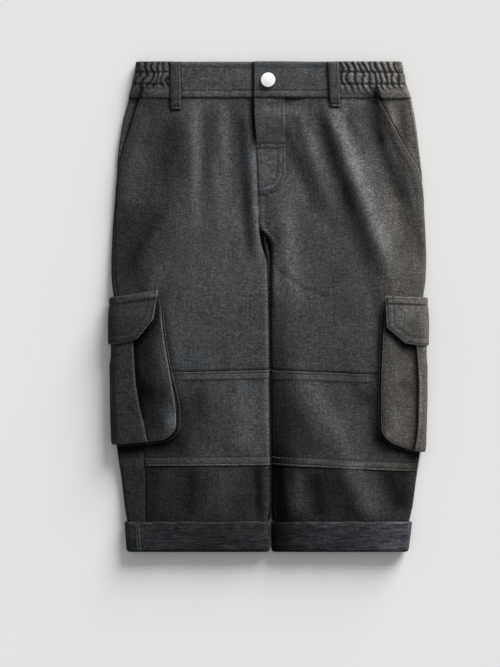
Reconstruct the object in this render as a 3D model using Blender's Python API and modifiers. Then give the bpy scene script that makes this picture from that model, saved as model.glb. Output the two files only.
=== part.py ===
"""Child's cargo trousers in heavy cotton canvas, laid out flat with the front upwards.

Every cloth piece is a wall on one shared surface. Each half of the trousers has a ring at every
distance down the garment: over the front, round the outer edge and back under the seat to the inner
edge. The rings come from the outline, height and fold tables below, so neighbours meet with an even
gap, and what lies on a panel is the panel's own surface moved out.

X runs across (the wearer's left is +X), Y up towards the waist, Z up from the surface that the
trousers lie on. Sizes are in millimetres, and the scene is in metres.
"""

import math
from collections import namedtuple

import bmesh
import bpy
from mathutils import Vector

MM = 0.001
RIGHT, LEFT = -1, 1  # the wearer's own sides

# Driving sizes
LENGTH = 491.0  # from the waistband's top to the turned-up hem
CLOTH = 1.3  # wall of one layer of canvas
GAP = 0.3  # between neighbours at a seam
EDGE_GAP = 0.56  # the same at the outer face of a rounded edge, where the inner faces come closer
CLEAR = 0.4  # between layers that lie on each other
WAISTBAND_DEPTH = 37.0
BAND_WALL = 2.2  # waistband: two layers and an interlining
BAND_RISE = 0.8  # how far the waistband stands out of the panels on the front
ELASTIC_WALL = 2.6
CROTCH = 178.0  # down from the waistband's top
CUFF_TOP, CUFF_WALL = 461.0, 2.7
HEM = 489.4  # where the leg panels end, inside the cuffs
EDGE_REACH = 3.6  # how far in from an edge the cloth's quarter turn reaches
FOLD_SHARE = 0.15  # the share of a ring's travel over the front that goes round one edge
BACKS_APART = 0.44  # between the two backs where the legs lie side by side
POCKET_LIFT = 3.8  # how far the cargo pockets hold the back panels off the surface
CUFF_LIFT = CUFF_WALL + CLEAR  # and the cuffs
LAP = 2.6  # how far the buttoned end of the waistband rides over the other

# The outer edges, the inner edges of the two legs, and the front's height at its edges and mid-leg
Level = namedtuple("Level", "down right left inner_right inner_left edge crown")
LEVELS = (
    Level(0, -131.5, 132.5, -11.5, -11.5, 6.2, 7.0),
    Level(12, -133.3, 134.4, -11.5, -11.5, 6.2, 7.0),
    Level(24, -136.0, 137.3, -11.5, -11.5, 6.2, 7.0),
    Level(37, -140.0, 143.0, -11.5, -11.5, 5.6, 7.4),
    Level(60, -146.2, 147.5, -11.3, -11.3, 5.4, 8.2),
    Level(90, -150.5, 151.6, -10.8, -10.8, 5.4, 8.6),
    Level(120, -152.8, 154.6, -10.2, -10.2, 5.4, 8.8),
    Level(160, -156.0, 157.2, -9.6, -9.6, 5.4, 8.8),
    Level(168, -156.5, 157.6, -9.4, -7.8, 5.5, 8.7),
    Level(176, -156.9, 158.0, -8.6, -0.6, 5.6, 8.6),
    Level(184, -157.2, 158.3, -7.0, 2.6, 5.8, 8.5),
    Level(200, -157.8, 158.6, -1.8, 2.8, 6.4, 8.6),
    Level(220, -157.0, 157.4, -1.0, 2.2, 8.2, 9.2),
    Level(236, -155.0, 155.2, -0.6, 2.1, 9.2, 9.8),
    Level(270, -154.2, 154.4, 0.0, 2.4, 9.4, 9.8),
    Level(340, -153.4, 154.0, 0.6, 3.0, 9.4, 9.8),
    Level(378, -152.6, 153.2, 1.0, 3.4, 9.2, 9.6),
    Level(396, -150.6, 151.4, 1.2, 3.6, 8.6, 9.0),
    Level(420, -147.2, 148.2, 1.3, 3.8, 7.0, 8.4),
    Level(446, -144.2, 144.6, 1.2, 3.8, 7.8, 8.8),
    Level(461, -141.6, 141.2, -1.2, 5.6, 8.6, 9.2),
    Level(491, -139.2, 137.4, -1.7, 5.9, 8.6, 9.0),
)

# Ridges (+) and troughs (-) of the front: a line on one side's cloth, half its width, its height
Fold = namedtuple("Fold", "side x down to_x to_down width height")
FOLDS = (
    Fold(LEFT, 58, 46, 122, 222, 11, 3.2),  # from the belt loop across the thigh
    Fold(LEFT, 46, 52, 100, 226, 9, -1.8),
    Fold(LEFT, 94, 48, 148, 190, 10, -1.3),
    Fold(LEFT, 34, 44, 44, 104, 8, 1.3),
    Fold(LEFT, 22, 92, 70, 180, 9, -1.5),
    Fold(LEFT, 10, 186, 14, 400, 9, -1.6),  # falls away to the other leg
    Fold(LEFT, 74, 318, 88, 392, 12, 1.2),
    Fold(LEFT, 15, 404, 19, 470, 8, 1.5),
    Fold(LEFT, 70, 404, 100, 470, 9, 1.9),
    Fold(RIGHT, -88, 44, -98, 140, 10, 2.6),  # from the belt loop to the cargo pocket
    Fold(RIGHT, -96, 118, -132, 216, 12, 2.0),
    Fold(RIGHT, -61, 42, -57, 140, 8, 1.5),
    Fold(RIGHT, -34, 44, -26, 172, 7, -1.6),  # beside the fly
    Fold(RIGHT, -44, 318, -38, 392, 16, 1.0),
    Fold(RIGHT, -56, 402, -50, 470, 14, 1.3),
    Fold(RIGHT, -11, 406, -9, 462, 4.5, -1.3),
)

# Where the side seam and the hand pocket's slanted mouth lie, in from the outer edge over the front.
# A negative reach is under the edge.
Seam = namedtuple("Seam", "down right left")
SIDE_SEAM = (
    Seam(37, -1.5, -1.5),
    Seam(110, -1.5, -1.5),
    Seam(140, 0.6, -1.5),
    Seam(170, 3.0, -1.5),
    Seam(236, 4.4, -1.5),
    Seam(300, 12.0, -1.5),
    Seam(370, 24.5, -1.5),
    Seam(396, 26.0, -1.5),
    Seam(446, 20.8, -1.5),
    Seam(461, 18.6, -1.5),
    Seam(491, 15.0, -1.5),
)
POCKET_MOUTH = (
    Seam(37, 10.8, 32.5),
    Seam(70, 9.0, 20.8),
    Seam(90, 5.8, 13.4),
    Seam(110, 2.4, 7.4),
    Seam(122, 0.4, 2.0),
    Seam(130, -1.0, -0.6),
    Seam(145, -2.0, -2.0),
)
FACING_UNDERLAP = 6.0
FACING_FOOT = 128.0
# The knee panel's seams drop from the inner to the outer edge
Slope = namedtuple("Slope", "inner drop")
KNEE_SEAM = {RIGHT: Slope(308.5, 5.0), LEFT: Slope(308.0, 9.0)}
SHIN_SEAM = {RIGHT: Slope(404.2, 1.4), LEFT: Slope(403.4, 8.6)}
SEAM_BAND, SEAM_RISE = 8.0, 0.6  # the folded allowance that makes a raised strip along them

# Cargo pockets: front edge and box pleat, as reaches in from the leg's edge, down the garment
Cargo = namedtuple("Cargo", "down edge pleat")
CARGO = {
    RIGHT: (
        Cargo(238, 46.0, 18.0),
        Cargo(280, 50.0, 18.6),
        Cargo(320, 54.8, 21.6),
        Cargo(360, 59.0, 26.5),
        Cargo(392, 59.5, 28.0),
    ),
    LEFT: (
        Cargo(238, 39.0, 6.2),
        Cargo(280, 40.2, 5.6),
        Cargo(320, 41.6, 4.6),
        Cargo(360, 41.2, 4.2),
        Cargo(392, 38.5, 4.2),
    ),
}
# The foot of each column of the pocket, by how far it is in from the pocket's own front edge
Foot = namedtuple("Foot", "down inset")
POCKET_FOOT = {
    RIGHT: (Foot(363.0, 0.0), Foot(372.5, 3.5), Foot(377.8, 10.0), Foot(381.0, 26.0), Foot(383.6, 60.0)),
    LEFT: (Foot(368.0, 0.0), Foot(376.5, 3.5), Foot(381.6, 10.0), Foot(387.4, 26.0), Foot(391.5, 42.0)),
}
POCKET_TOP = 238.6
POCKET_UNDER = 44.0  # how far the pocket and its flap reach on the underside
POCKET_DEPTH, MOUTH_DEPTH = 5.6, 3.0  # how far the pocket stands off the leg, low down and at its mouth
PLEAT_RISE, EDGE_DROP = 1.2, 0.12
GUSSET_WALL, GUSSET_START = 1.3, 16.0
FLAP_WALL, FLAP_CLEAR = 1.7, 0.9
# The flap's front edge, its cut corner and its outer edge: top and foot of each line
FlapLine = namedtuple("FlapLine", "top_reach top_down foot_reach foot_down")
FLAP = {
    RIGHT: (
        FlapLine(45.0, 229.0, 39.5, 258.0),
        FlapLine(29.0, 231.6, 23.0, 278.4),
        FlapLine(0, 236.2, 0, 283.6),
    ),
    LEFT: (
        FlapLine(38.6, 235.0, 36.4, 266.6),
        FlapLine(20.0, 235.8, 18.0, 282.2),
        FlapLine(0, 236.4, 0, 284.8),
    ),
}

# Waistband, fly and small pieces
ELASTIC_END = {RIGHT: -94.5, LEFT: 65.5}  # where the gathered length meets the flat front
GATHERS = {RIGHT: 10, LEFT: 10}  # waves on each side of the front
GATHER_HEIGHT, CHANNEL_DIP = 1.0, 0.45
STITCH_ROWS = (12.0, 24.0)  # lines of stitching that part the elastic into three channels
LAP_EDGE, UNDERLAP_EDGE, LAP_EASE = -14.4, 12.0, 30.0
Placket = namedtuple("Placket", "down front back")
PLACKET = (
    Placket(37.5, -14.3, 16.6),
    Placket(60.0, -13.6, 16.8),
    Placket(84.0, -11.6, 17.0),
    Placket(100.0, -10.8, 17.2),
    Placket(112.0, -10.2, 17.0),
    Placket(122.0, -9.8, 14.4),
    Placket(129.0, -9.4, 7.4),
    Placket(133.0, -9.0, -3.8),
)
PLACKET_LIFT = 1.5  # how far its free upper part stands off
Loop = namedtuple("Loop", "side x foot_x top foot width")
BELT_LOOPS = {
    "belt_loop_right": Loop(RIGHT, -93.6, -92.8, 1.0, 48.0, 10.6),
    "belt_loop_left": Loop(LEFT, 64.6, 66.8, 1.0, 45.4, 10.6),
}
LOOP_WALL, LOOP_BOW = 1.5, 0.7
BUTTON_X, BUTTON_DOWN, BUTTON_RADIUS = -0.5, 19.2, 7.2

CANVAS, CANVAS_WRONG_SIDE = (0.055, 0.057, 0.060, 1), (0.047, 0.046, 0.053, 1)
METAL = (0.86, 0.85, 0.83, 1)


def at(x, down, z):
    """A place on the garment, in metres."""
    return Vector((x, LENGTH / 2 - down, z)) * MM


def ease(share):
    share = min(max(share, 0.0), 1.0)
    return share * share * (3 - 2 * share)


def mix(a, b, share):
    return a + (b - a) * share


def read(table, column, down):
    """A column of a table at a distance down the garment, on a smooth curve through its rows."""
    places = [row.down for row in table]
    values = [getattr(row, column) for row in table]
    last = len(table) - 1
    down = min(max(down, places[0]), places[last])
    k = max(i for i in range(last) if places[i] <= down)
    step = places[k + 1] - places[k]
    t = (down - places[k]) / step
    slope = []
    for j in (k, k + 1):
        before, after = max(j - 1, 0), min(j + 1, last)
        slope.append((values[after] - values[before]) / (places[after] - places[before]))
    return (
        (2 * t**3 - 3 * t**2 + 1) * values[k]
        + (t**3 - 2 * t**2 + t) * step * slope[0]
        + (3 * t**2 - 2 * t**3) * values[k + 1]
        + (t**3 - t**2) * step * slope[1]
    )


def outer_x(side, down):
    return read(LEVELS, "right" if side == RIGHT else "left", down)


def inner_x(side, down, under=False):
    """The centre seam above the crotch, straight under the seat, and the leg's inner edge below it.

    Between the legs the two backs lie closer together than the fronts do.
    """
    right, left = read(LEVELS, "inner_right", down), read(LEVELS, "inner_left", down)
    x = right if side == RIGHT else left
    if not under:
        return x
    together = mix((right + left) / 2 + side * BACKS_APART / 2, x, ease((down - 426) / 18))
    return mix(0.0, together, ease((down - CROTCH + 16) / 20))


def fold_height(side, x, down):
    total = 0.0
    for fold in FOLDS:
        if fold.side != side:
            continue
        run_x, run_down = fold.to_x - fold.x, fold.to_down - fold.down
        length = math.hypot(run_x, run_down)
        along = ((x - fold.x) * run_x + (down - fold.down) * run_down) / length**2
        off = ((x - fold.x) * run_down - (down - fold.down) * run_x) / length
        fade = ease(along / 0.3 + 0.35) * ease((1 - along) / 0.3 + 0.35)
        total += fold.height * fade * math.exp(-((off / fold.width) ** 2))
    return total


def top_height(side, x, down):
    """The front's outer face above the surface, before its edges turn down."""
    near, far = inner_x(side, down), outer_x(side, down)
    share = min(max((x - near) / (far - near), 0.0), 1.0)
    arch = math.sin(math.pi * (0.12 + 0.88 * share if down < CROTCH else share)) ** 0.7
    edge = read(LEVELS, "edge", down)
    calm = ease((min(share, 1 - share) * abs(far - near)) / 9 - 0.1)
    if down < CROTCH:
        calm = ease(((1 - share) * abs(far - near)) / 9 - 0.1)
    waist = ease((down - WAISTBAND_DEPTH + 12) / 22)
    cuffed = 1 - ease((down - 448) / 16)
    folds = fold_height(side, x, down) * calm * waist * cuffed
    return edge + (read(LEVELS, "crown", down) - edge) * arch + folds


def back_height(side, x, down):
    """The back's outer face above the surface: 0 where it rests, lifted over the cuffs and cargo pockets."""
    in_from_edge = abs(outer_x(side, down) - x)
    over_pocket = ease((POCKET_UNDER + 22 - in_from_edge) / 16)
    beside_pocket = ease((down - 206) / 18) * ease((418 - down) / 16)
    return max(POCKET_LIFT * over_pocket * beside_pocket, CUFF_LIFT * ease((down - 440) / 18))


def ring(side, down, turn):
    """(x, z) of the cloth's outer face.

    turn is 0 at the inner edge, 1 at the outer edge over the front and 2 at the inner edge underneath.
    """
    under = turn > 1
    travel = 2 - turn if under else turn
    near, far = inner_x(side, down, under), outer_x(side, down)
    closed = ease((down - CROTCH + 12) / 14)  # the inner edge is a fold only below the crotch
    if travel < FOLD_SHARE:
        angle = travel / FOLD_SHARE * math.pi / 2
        x = near + side * EDGE_REACH * mix(travel / FOLD_SHARE, 1 - math.cos(angle), closed)
        rise = 1 - closed * (1 - math.sin(angle))
    elif travel > 1 - FOLD_SHARE:
        angle = (1 - travel) / FOLD_SHARE * math.pi / 2
        x = far - side * EDGE_REACH * (1 - math.cos(angle))
        rise = math.sin(angle)
    else:
        share = (travel - FOLD_SHARE) / (1 - 2 * FOLD_SHARE)
        x = mix(near + side * EDGE_REACH, far - side * EDGE_REACH, share)
        rise = 1.0
    top, back = top_height(side, x, down), back_height(side, x, down)
    middle = (top + back) / 2
    return (x, mix(middle, back if under else top, rise))


def heading(side, down, turn):
    """The ring's direction and its travel for one unit of turn."""
    before, after = max(turn - 0.004, 0.0), min(turn + 0.004, 2.0)
    x0, z0 = ring(side, down, before)
    x1, z1 = ring(side, down, after)
    length = math.hypot(x1 - x0, z1 - z0)
    return (x1 - x0) / length, (z1 - z0) / length, length / (after - before)


def normal(side, down, turn):
    run, rise, _ = heading(side, down, turn)
    return (-side * rise, side * run)


def moved_out(side, down, turn, out):
    """A point of the ring, moved out along its normal, in metres."""
    x, z = ring(side, down, turn)
    if out:
        nx, nz = normal(side, down, turn)
        x, z = x + nx * out, z + nz * out
    return at(x, down, max(z, 0.0))


def turn_at_reach(side, down, reach):
    """The turn of the ring this far in from the outer edge: over the front, or under it if negative."""
    if abs(reach) < EDGE_REACH:
        travel = 1 - FOLD_SHARE * math.acos(1 - abs(reach) / EDGE_REACH) / (math.pi / 2)
    else:
        span = abs(outer_x(side, down) - inner_x(side, down, reach < 0)) - 2 * EDGE_REACH
        travel = 1 - FOLD_SHARE - (abs(reach) - EDGE_REACH) / span * (1 - 2 * FOLD_SHARE)
    return travel if reach >= 0 else 2 - travel


def turn_at_x(side, down, x):
    return turn_at_reach(side, down, abs(outer_x(side, down) - x))


def shifted(side, down, turn, distance):
    """The turn that is this much further along the ring."""
    return turn + distance / heading(side, down, turn)[2]


def round_edge(reach_from, *beyond):
    """Reaches from the front, round the outer edge and on underneath."""
    quarter = [EDGE_REACH * (1 - math.cos(math.pi / 8 * i)) for i in range(5)]
    over = [reach for reach in reversed(quarter) if reach < reach_from]
    return over + [-reach for reach in quarter[1:]] + list(beyond)


def spread(stops, counts):
    """Values from stop to stop, with each stretch cut into that many equal steps."""
    values = [stops[0]]
    for start, end, count in zip(stops, stops[1:], counts):
        values += [mix(start, end, (i + 1) / count) for i in range(count)]
    return values


def collection(name):
    made = bpy.data.collections.new(name)
    bpy.context.scene.collection.children.link(made)
    return made


def material(name, colour, roughness, metallic=0.0):
    made = bpy.data.materials.new(name)
    made.use_nodes = True
    shader = made.node_tree.nodes["Principled BSDF"]
    shader.inputs["Base Color"].default_value = colour
    shader.inputs["Roughness"].default_value = roughness
    shader.inputs["Metallic"].default_value = metallic
    return made


def add(name, mesh, finish, group):
    piece = bpy.data.objects.new(name, mesh)
    piece.data.materials.append(finish)
    group.objects.link(piece)
    return piece


def loft(rows, closed_down=False, closed_across=False):
    """A mesh through rows of points, open unless it closes on itself."""
    shape = bmesh.new()
    made = [[shape.verts.new(point) for point in row] for row in rows]
    downs = list(zip(made, made[1:] + made[:1])) if closed_down else list(zip(made, made[1:]))
    for upper, lower in downs:
        pairs = list(zip(upper, lower))
        for a, b in zip(pairs, pairs[1:] + pairs[:1] if closed_across else pairs[1:]):
            shape.faces.new((a[0], a[1], b[1], b[0]))
    return shape


def finished(shape, name):
    bmesh.ops.recalc_face_normals(shape, faces=shape.faces)
    mesh = bpy.data.meshes.new(name)
    shape.to_mesh(mesh)
    shape.free()
    mesh.shade_smooth()
    return mesh


def wall(name, rows, finish, group):
    """A closed piece through rows of (outer, inner) pairs of points."""
    outer = [[pair[0] for pair in row] for row in rows]
    inner = [[pair[1] for pair in row] for row in rows]
    shape = loft([a + b[::-1] for a, b in zip(outer, inner)], closed_across=True)
    shape.verts.ensure_lookup_table()
    ring_size, columns = 2 * len(outer[0]), len(outer[0])
    for first in (0, (len(rows) - 1) * ring_size):
        end = [shape.verts[first + i] for i in range(ring_size)]
        for i in range(columns - 1):
            shape.faces.new((end[i], end[i + 1], end[-2 - i], end[-1 - i]))
    return add(name, finished(shape, name), finish, group)


def sheet(name, rows, thickness, finish, group):
    """An open sheet given its wall downwards."""
    piece = add(name, finished(loft(rows), name), finish, group)
    thicken = piece.modifiers.new("Wall", "SOLIDIFY")
    thicken.thickness = thickness * MM
    thicken.offset = -1
    thicken.use_quality_normals = True
    return piece


def level(down, turn):
    return 0.0


def unmoved(down, turn):
    return down


def panel(name, side, downs, turns_at, finish, group, out=level, warp=unmoved):
    """A cloth piece cut from one side's rings. turns_at gives its columns at each distance down."""
    rows = []
    for down in downs:
        row = []
        for turn in turns_at(down):
            place, stand = warp(down, turn), out(down, turn)
            row.append((moved_out(side, place, turn, stand), moved_out(side, place, turn, stand - CLOTH)))
        rows.append(row)
    wall(name, rows, finish, group)


def front_edge(side, down):
    """The front's outer boundary: the hand pocket's mouth, and below it the side seam."""
    mouth = read(POCKET_MOUTH, "right" if side == RIGHT else "left", down)
    return max(mouth, side_seam(side, down))


def side_seam(side, down):
    return read(SIDE_SEAM, "right" if side == RIGHT else "left", down)


def front_turns(side, down, columns, warp):
    """From the centre seam or the inner edge to the outer boundary."""
    start = shifted(side, down, 0.0, (EDGE_GAP if down > CROTCH - 14 else GAP) / 2)
    end = 1.0
    for _ in range(3):
        place = warp(down, end)
        end = shifted(side, place, turn_at_reach(side, place, front_edge(side, place)), -EDGE_GAP / 2)
    turn_down = max(end - 0.02, 1 - FOLD_SHARE) if end > 1 - FOLD_SHARE else mix(FOLD_SHARE, end, 0.94)
    return spread((start, FOLD_SHARE, turn_down, end), columns)


def front_panels(side, word, finish, group):
    """The front, knee and shin panels. Returns each row's distance down at the inner edge and at the back."""
    columns = (3, 16, 3)
    knee, shin = KNEE_SEAM[side], SHIN_SEAM[side]
    level = Slope(0.0, 0.0)

    def strip_rise(down, turn):
        """The raised strips along the knee panel's seams, let down where the cargo pocket is sewn on."""
        strip = min(down - knee.inner, shin.inner - down)
        reach = abs(outer_x(side, down) - ring(side, down, turn)[0])
        edge = read(CARGO[side], "edge", down)
        beside = ease((reach - edge - 9) / 6) if down < 380 else ease((reach - 4) / 6)
        return SEAM_RISE * ease((SEAM_BAND + 1 - strip) / 1.6) * beside * ease((turn - 0.03) / 0.1)

    met = []
    for name, downs, upper, lower, out in (
        (
            "front", spread((WAISTBAND_DEPTH + GAP / 2, 160, 192, knee.inner - GAP / 2), (6, 4, 6)),
            level, knee, lambda down, turn: 0.0,
        ),
        (
            "knee", spread((knee.inner + GAP / 2, knee.inner + SEAM_BAND, shin.inner - SEAM_BAND,
                            shin.inner - GAP / 2), (2, 3, 2)),
            knee, shin, strip_rise,
        ),
        (
            "shin", spread((shin.inner + GAP / 2, 440, CUFF_TOP, HEM), (3, 2, 1)),
            shin, level, lambda down, turn: 0.0,
        ),
    ):
        def warp(down, turn, start=downs[0], end=downs[-1], upper=upper, lower=lower):
            return down + mix(upper.drop, lower.drop, (down - start) / (end - start)) * turn

        def turns(down, warp=warp):
            return front_turns(side, down, columns, warp)

        panel(name + "_" + word, side, downs, turns, finish, group, out, warp)
        met += [(down, warp(down, turns(down)[-1])) for down in downs]
    return [row for row, after in zip(met, met[1:]) if after[0] - row[0] > 1] + [met[-1]]


def back_panel(side, word, met, finish, group):
    outer_down = dict(met)

    def warp(down, turn):
        return mix(outer_down[down], down, ease(turn - 1))

    def turns(down):
        place = outer_down[down]
        seam = turn_at_reach(side, place, side_seam(side, place))
        inner_gap = EDGE_GAP if down > CROTCH - 14 else GAP
        start, end = shifted(side, place, seam, EDGE_GAP / 2), shifted(side, down, 2.0, -inner_gap / 2)
        lifted_end, rest = (turn_at_reach(side, down, -POCKET_UNDER - beyond) for beyond in (6, 22))
        stops = (start, 1 + FOLD_SHARE, lifted_end, rest, 2 - FOLD_SHARE, end)
        return spread(stops, (8 if side == RIGHT else 3, 1, 2, 2, 3))

    panel("back_" + word, side, [down for down, _ in met], turns, finish, group, warp=warp)


def hip_facing(side, word, met, finish, group):
    """The piece behind the hand pocket's mouth: tucked under the front's edge, level with it further out."""
    underlap = (FACING_UNDERLAP, 0.5, -0.7)

    def turns(down):
        mouth, seam = front_edge(side, down), side_seam(side, down)
        end = shifted(side, down, turn_at_reach(side, down, seam), -EDGE_GAP / 2)
        tucked = [turn_at_reach(side, down, mouth + beyond) for beyond in underlap]
        return tucked + spread((tucked[-1], end), (5,))[1:]

    def tuck(down, turn):
        start = turn_at_reach(side, down, front_edge(side, down) + underlap[-1])
        end = turn_at_reach(side, down, side_seam(side, down))
        return -(CLOTH + CLEAR) * (1 - ease(2.0 * (turn - start) / (end - start)))

    downs = [down for _, down in met if down < FACING_FOOT]
    panel("hip_facing_" + word, side, downs, turns, finish, group, out=tuck)


def band_out(x):
    """How far the buttoned half of the waistband stands out: it laps over the other half near the fly."""
    return BAND_RISE + LAP * (1 - ease((x - UNDERLAP_EDGE - 2) / LAP_EASE))


def waistband_fronts(finish, group):
    downs = spread((0.0, WAISTBAND_DEPTH - GAP / 2), (4,))
    for name, side, start, end, columns in (
        ("waistband_right", RIGHT, ELASTIC_END[RIGHT] + GAP / 2, UNDERLAP_EDGE, 10),
        ("waistband_left", LEFT, LAP_EDGE, ELASTIC_END[LEFT] - GAP / 2, 10),
    ):
        rows = []
        for down in downs:
            row = []
            for x in spread((start, end), (columns,)):
                own = RIGHT if x < inner_x(RIGHT, down) else LEFT
                out = BAND_RISE if side == RIGHT else band_out(x)
                row.append(at(x, down, top_height(own, x, down) + out))
            rows.append(row)
        sheet(name, rows, BAND_WALL, finish, group)


def gather(share, waves, down):
    """The elastic's ripple, 0 to 1, leaning from one channel to the next."""
    channel = sum(down > row for row in STITCH_ROWS)
    return 0.5 - 0.5 * math.cos(2 * math.pi * waves * (share + 0.012 * channel))


def waistband_elastic(finish, group):
    """The gathered length, from one belt loop round the back to the other: ripples over a plain inside."""
    rows = (0.0, 6.0, 12.0, 18.0, 24.0, 30.5, WAISTBAND_DEPTH - GAP / 2)
    grid = []
    for down in rows:
        pinch = min(abs(down - row) for row in STITCH_ROWS)
        puff = 0.35 + 0.65 * ease(pinch / 5)
        line = []
        for side in (RIGHT, LEFT):
            start = turn_at_x(side, down, ELASTIC_END[side] + side * GAP / 2)
            steps = 3 * GATHERS[side]
            stretch = []
            for i, turn in enumerate(spread((start, 1 - FOLD_SHARE), (steps,))):
                wave = puff * gather(i / steps, GATHERS[side], down) * ease(i / steps * 5 - 0.4)
                stretch.append((turn, BAND_RISE + GATHER_HEIGHT * wave - CHANNEL_DIP * (1 - puff)))
            for turn in spread((1 - FOLD_SHARE, 1.0, 1 + FOLD_SHARE), (3, 3))[1:]:
                stretch.append((turn, BAND_RISE * (1 - ease((turn - 1 + FOLD_SHARE) / FOLD_SHARE))))
            stretch += [(turn, 0.0) for turn in spread((1 + FOLD_SHARE, 2.0), (5,))[1:]]
            pairs = []
            for turn, out in stretch:
                inside = min(out, BAND_RISE) - ELASTIC_WALL
                pairs.append((moved_out(side, down, turn, out), moved_out(side, down, turn, inside)))
            line += pairs if side == RIGHT else pairs[-2::-1]  # the two halves share the middle of the back
        grid.append(line)
    wall("waistband_elastic", grid, finish, group)


def cuff(side, word, finish, group):
    """The turned-up hem: a flattened ring of folded cloth round the foot of the leg."""
    Lip = namedtuple("Lip", "down out")
    lips = (
        Lip(0.5, 0.0), Lip(0.0, 1.3), Lip(0.8, 2.4), Lip(8.0, CUFF_WALL), Lip(22.0, CUFF_WALL),
        Lip(28.6, 2.4), Lip(30.0, 1.2), Lip(29.0, 0.0),
    )
    stations = spread(
        (0.0, FOLD_SHARE, 1 - FOLD_SHARE, 1.0, 1 + FOLD_SHARE, 2 - FOLD_SHARE, 2.0), (3, 8, 3, 3, 4, 3)
    )[:-1]
    rows = []
    for turn in stations:
        rows.append([
            moved_out(side, min(CUFF_TOP + lip.down, HEM), turn, CLEAR + lip.out)
            + at(0, CUFF_TOP + lip.down, 0) - at(0, min(CUFF_TOP + lip.down, HEM), 0)
            for lip in lips
        ])
    shape = loft(rows, closed_down=True, closed_across=True)
    add("cuff_" + word, finished(shape, "cuff_" + word), finish, group)


def pocket_out(side, down, reach):
    """How far the cargo pocket's outer face stands off the leg. Underneath it comes down to the surface."""
    column = CARGO[side]
    flap_foot = FLAP[side][-1].foot_down
    depth = mix(MOUTH_DEPTH, POCKET_DEPTH, ease((down - POCKET_TOP - 2) / 30))
    edge, pleat = read(column, "edge", down), read(column, "pleat", down)
    depth *= 1 - EDGE_DROP * ease(1 - (edge - reach) / 8)
    box = PLEAT_RISE * ease((pleat + 0.5 - reach) / 1.0) * ease((down - POCKET_TOP - 6) / 14)
    low = POCKET_LIFT - (FLAP_WALL + CLEAR) * (1 - ease((down - flap_foot - 10) / 12))
    return mix(depth + box, low, ease(0.5 - reach / (2 * EDGE_REACH)))


def pocket_foot(side, inset):
    table = POCKET_FOOT[side]
    for a, b in zip(table, table[1:]):
        if inset <= b.inset:
            return mix(a.down, b.down, (inset - a.inset) / (b.inset - a.inset))
    return table[-1].down


def lifted(side, down, reach, out, thickness):
    """The outer and inner points of a wall that stands off the leg."""
    turn = turn_at_reach(side, down, reach)
    return moved_out(side, down, turn, out), moved_out(side, down, turn, out - thickness)


def cargo_pocket(side, word, finish, group):
    """The pocket's face, round the side of the leg, with its box pleat."""
    heights = spread((0.0, 1.0), (9,))
    insets = (0.0, 3.5, 10.0, 19.0)
    columns = []
    for inset in insets:
        columns.append([(inset, None, share) for share in heights])
    pleat_shares = (0.6, -0.6)
    for offset in pleat_shares:
        columns.append([(None, offset, share) for share in heights])
    grid = []
    for column in columns:
        line = []
        for inset, offset, share in column:
            foot = pocket_foot(side, inset if inset is not None else 30.0)
            down = mix(POCKET_TOP, foot, share)
            edge, pleat = read(CARGO[side], "edge", down), read(CARGO[side], "pleat", down)
            reach = edge - inset if inset is not None else pleat + offset
            line.append((down, reach))
        grid.append(line)
    foot = pocket_foot(side, 60.0)
    least = min(row.pleat for row in CARGO[side]) - 1.5
    across = [12.0] if side == RIGHT else []
    for reach in across + round_edge(least, -16.0, -30.0, -POCKET_UNDER):
        grid.append([(mix(POCKET_TOP, foot, share), reach) for share in heights])
    rows = [
        [lifted(side, down, reach, pocket_out(side, down, reach), CLOTH) for down, reach in line]
        for line in grid
    ]
    wall("cargo_pocket_" + word, rows, finish, group)


def cargo_gusset(side, word, finish, group):
    """The bellows strip between the leg and the pocket's edge: down its front side, round the corner and
    along its foot to the side of the leg."""
    Stop = namedtuple("Stop", "down reach out_down out_reach")
    stops = []
    for down in spread((POCKET_TOP + GUSSET_START, POCKET_FOOT[side][0].down), (7,)):
        stops.append(Stop(down, read(CARGO[side], "edge", down), 0.0, 1.0))
    for inset, foot, out_down, out_reach in (
        (3.5, POCKET_FOOT[side][1].down, 0.7, 0.7), (10.0, POCKET_FOOT[side][2].down, 0.93, 0.36),
        (20.0, pocket_foot(side, 20.0), 1.0, 0.1), (28.0, pocket_foot(side, 28.0), 1.0, 0.0),
    ):
        stops.append(Stop(foot, read(CARGO[side], "edge", foot) - inset, out_down, out_reach))
    foot = pocket_foot(side, 60.0)
    for reach in (7.0, EDGE_REACH, 1.2, 0.0):
        stops.append(Stop(foot, reach, 1.0, 0.0))
    rows = []
    for stop in stops:
        inside = pocket_out(side, stop.down, read(CARGO[side], "edge", stop.down)) - CLOTH - CLEAR
        flare = 1.2 + 2.2 * ease((stop.down - 300) / 60) if side == RIGHT else 1.6
        row = []
        for outward, height in ((-2.8, inside), (-1.6, mix(CLEAR, inside, 0.6)), (flare, CLEAR + 0.2)):
            pair = []
            for place in (outward + GUSSET_WALL, outward):
                down, reach = stop.down + stop.out_down * place, stop.reach + stop.out_reach * place
                pair.append(moved_out(side, down, turn_at_reach(side, down, reach), height))
            row.append(pair)
        rows.append(row)
    wall("cargo_gusset_" + word, rows, finish, group)


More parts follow.
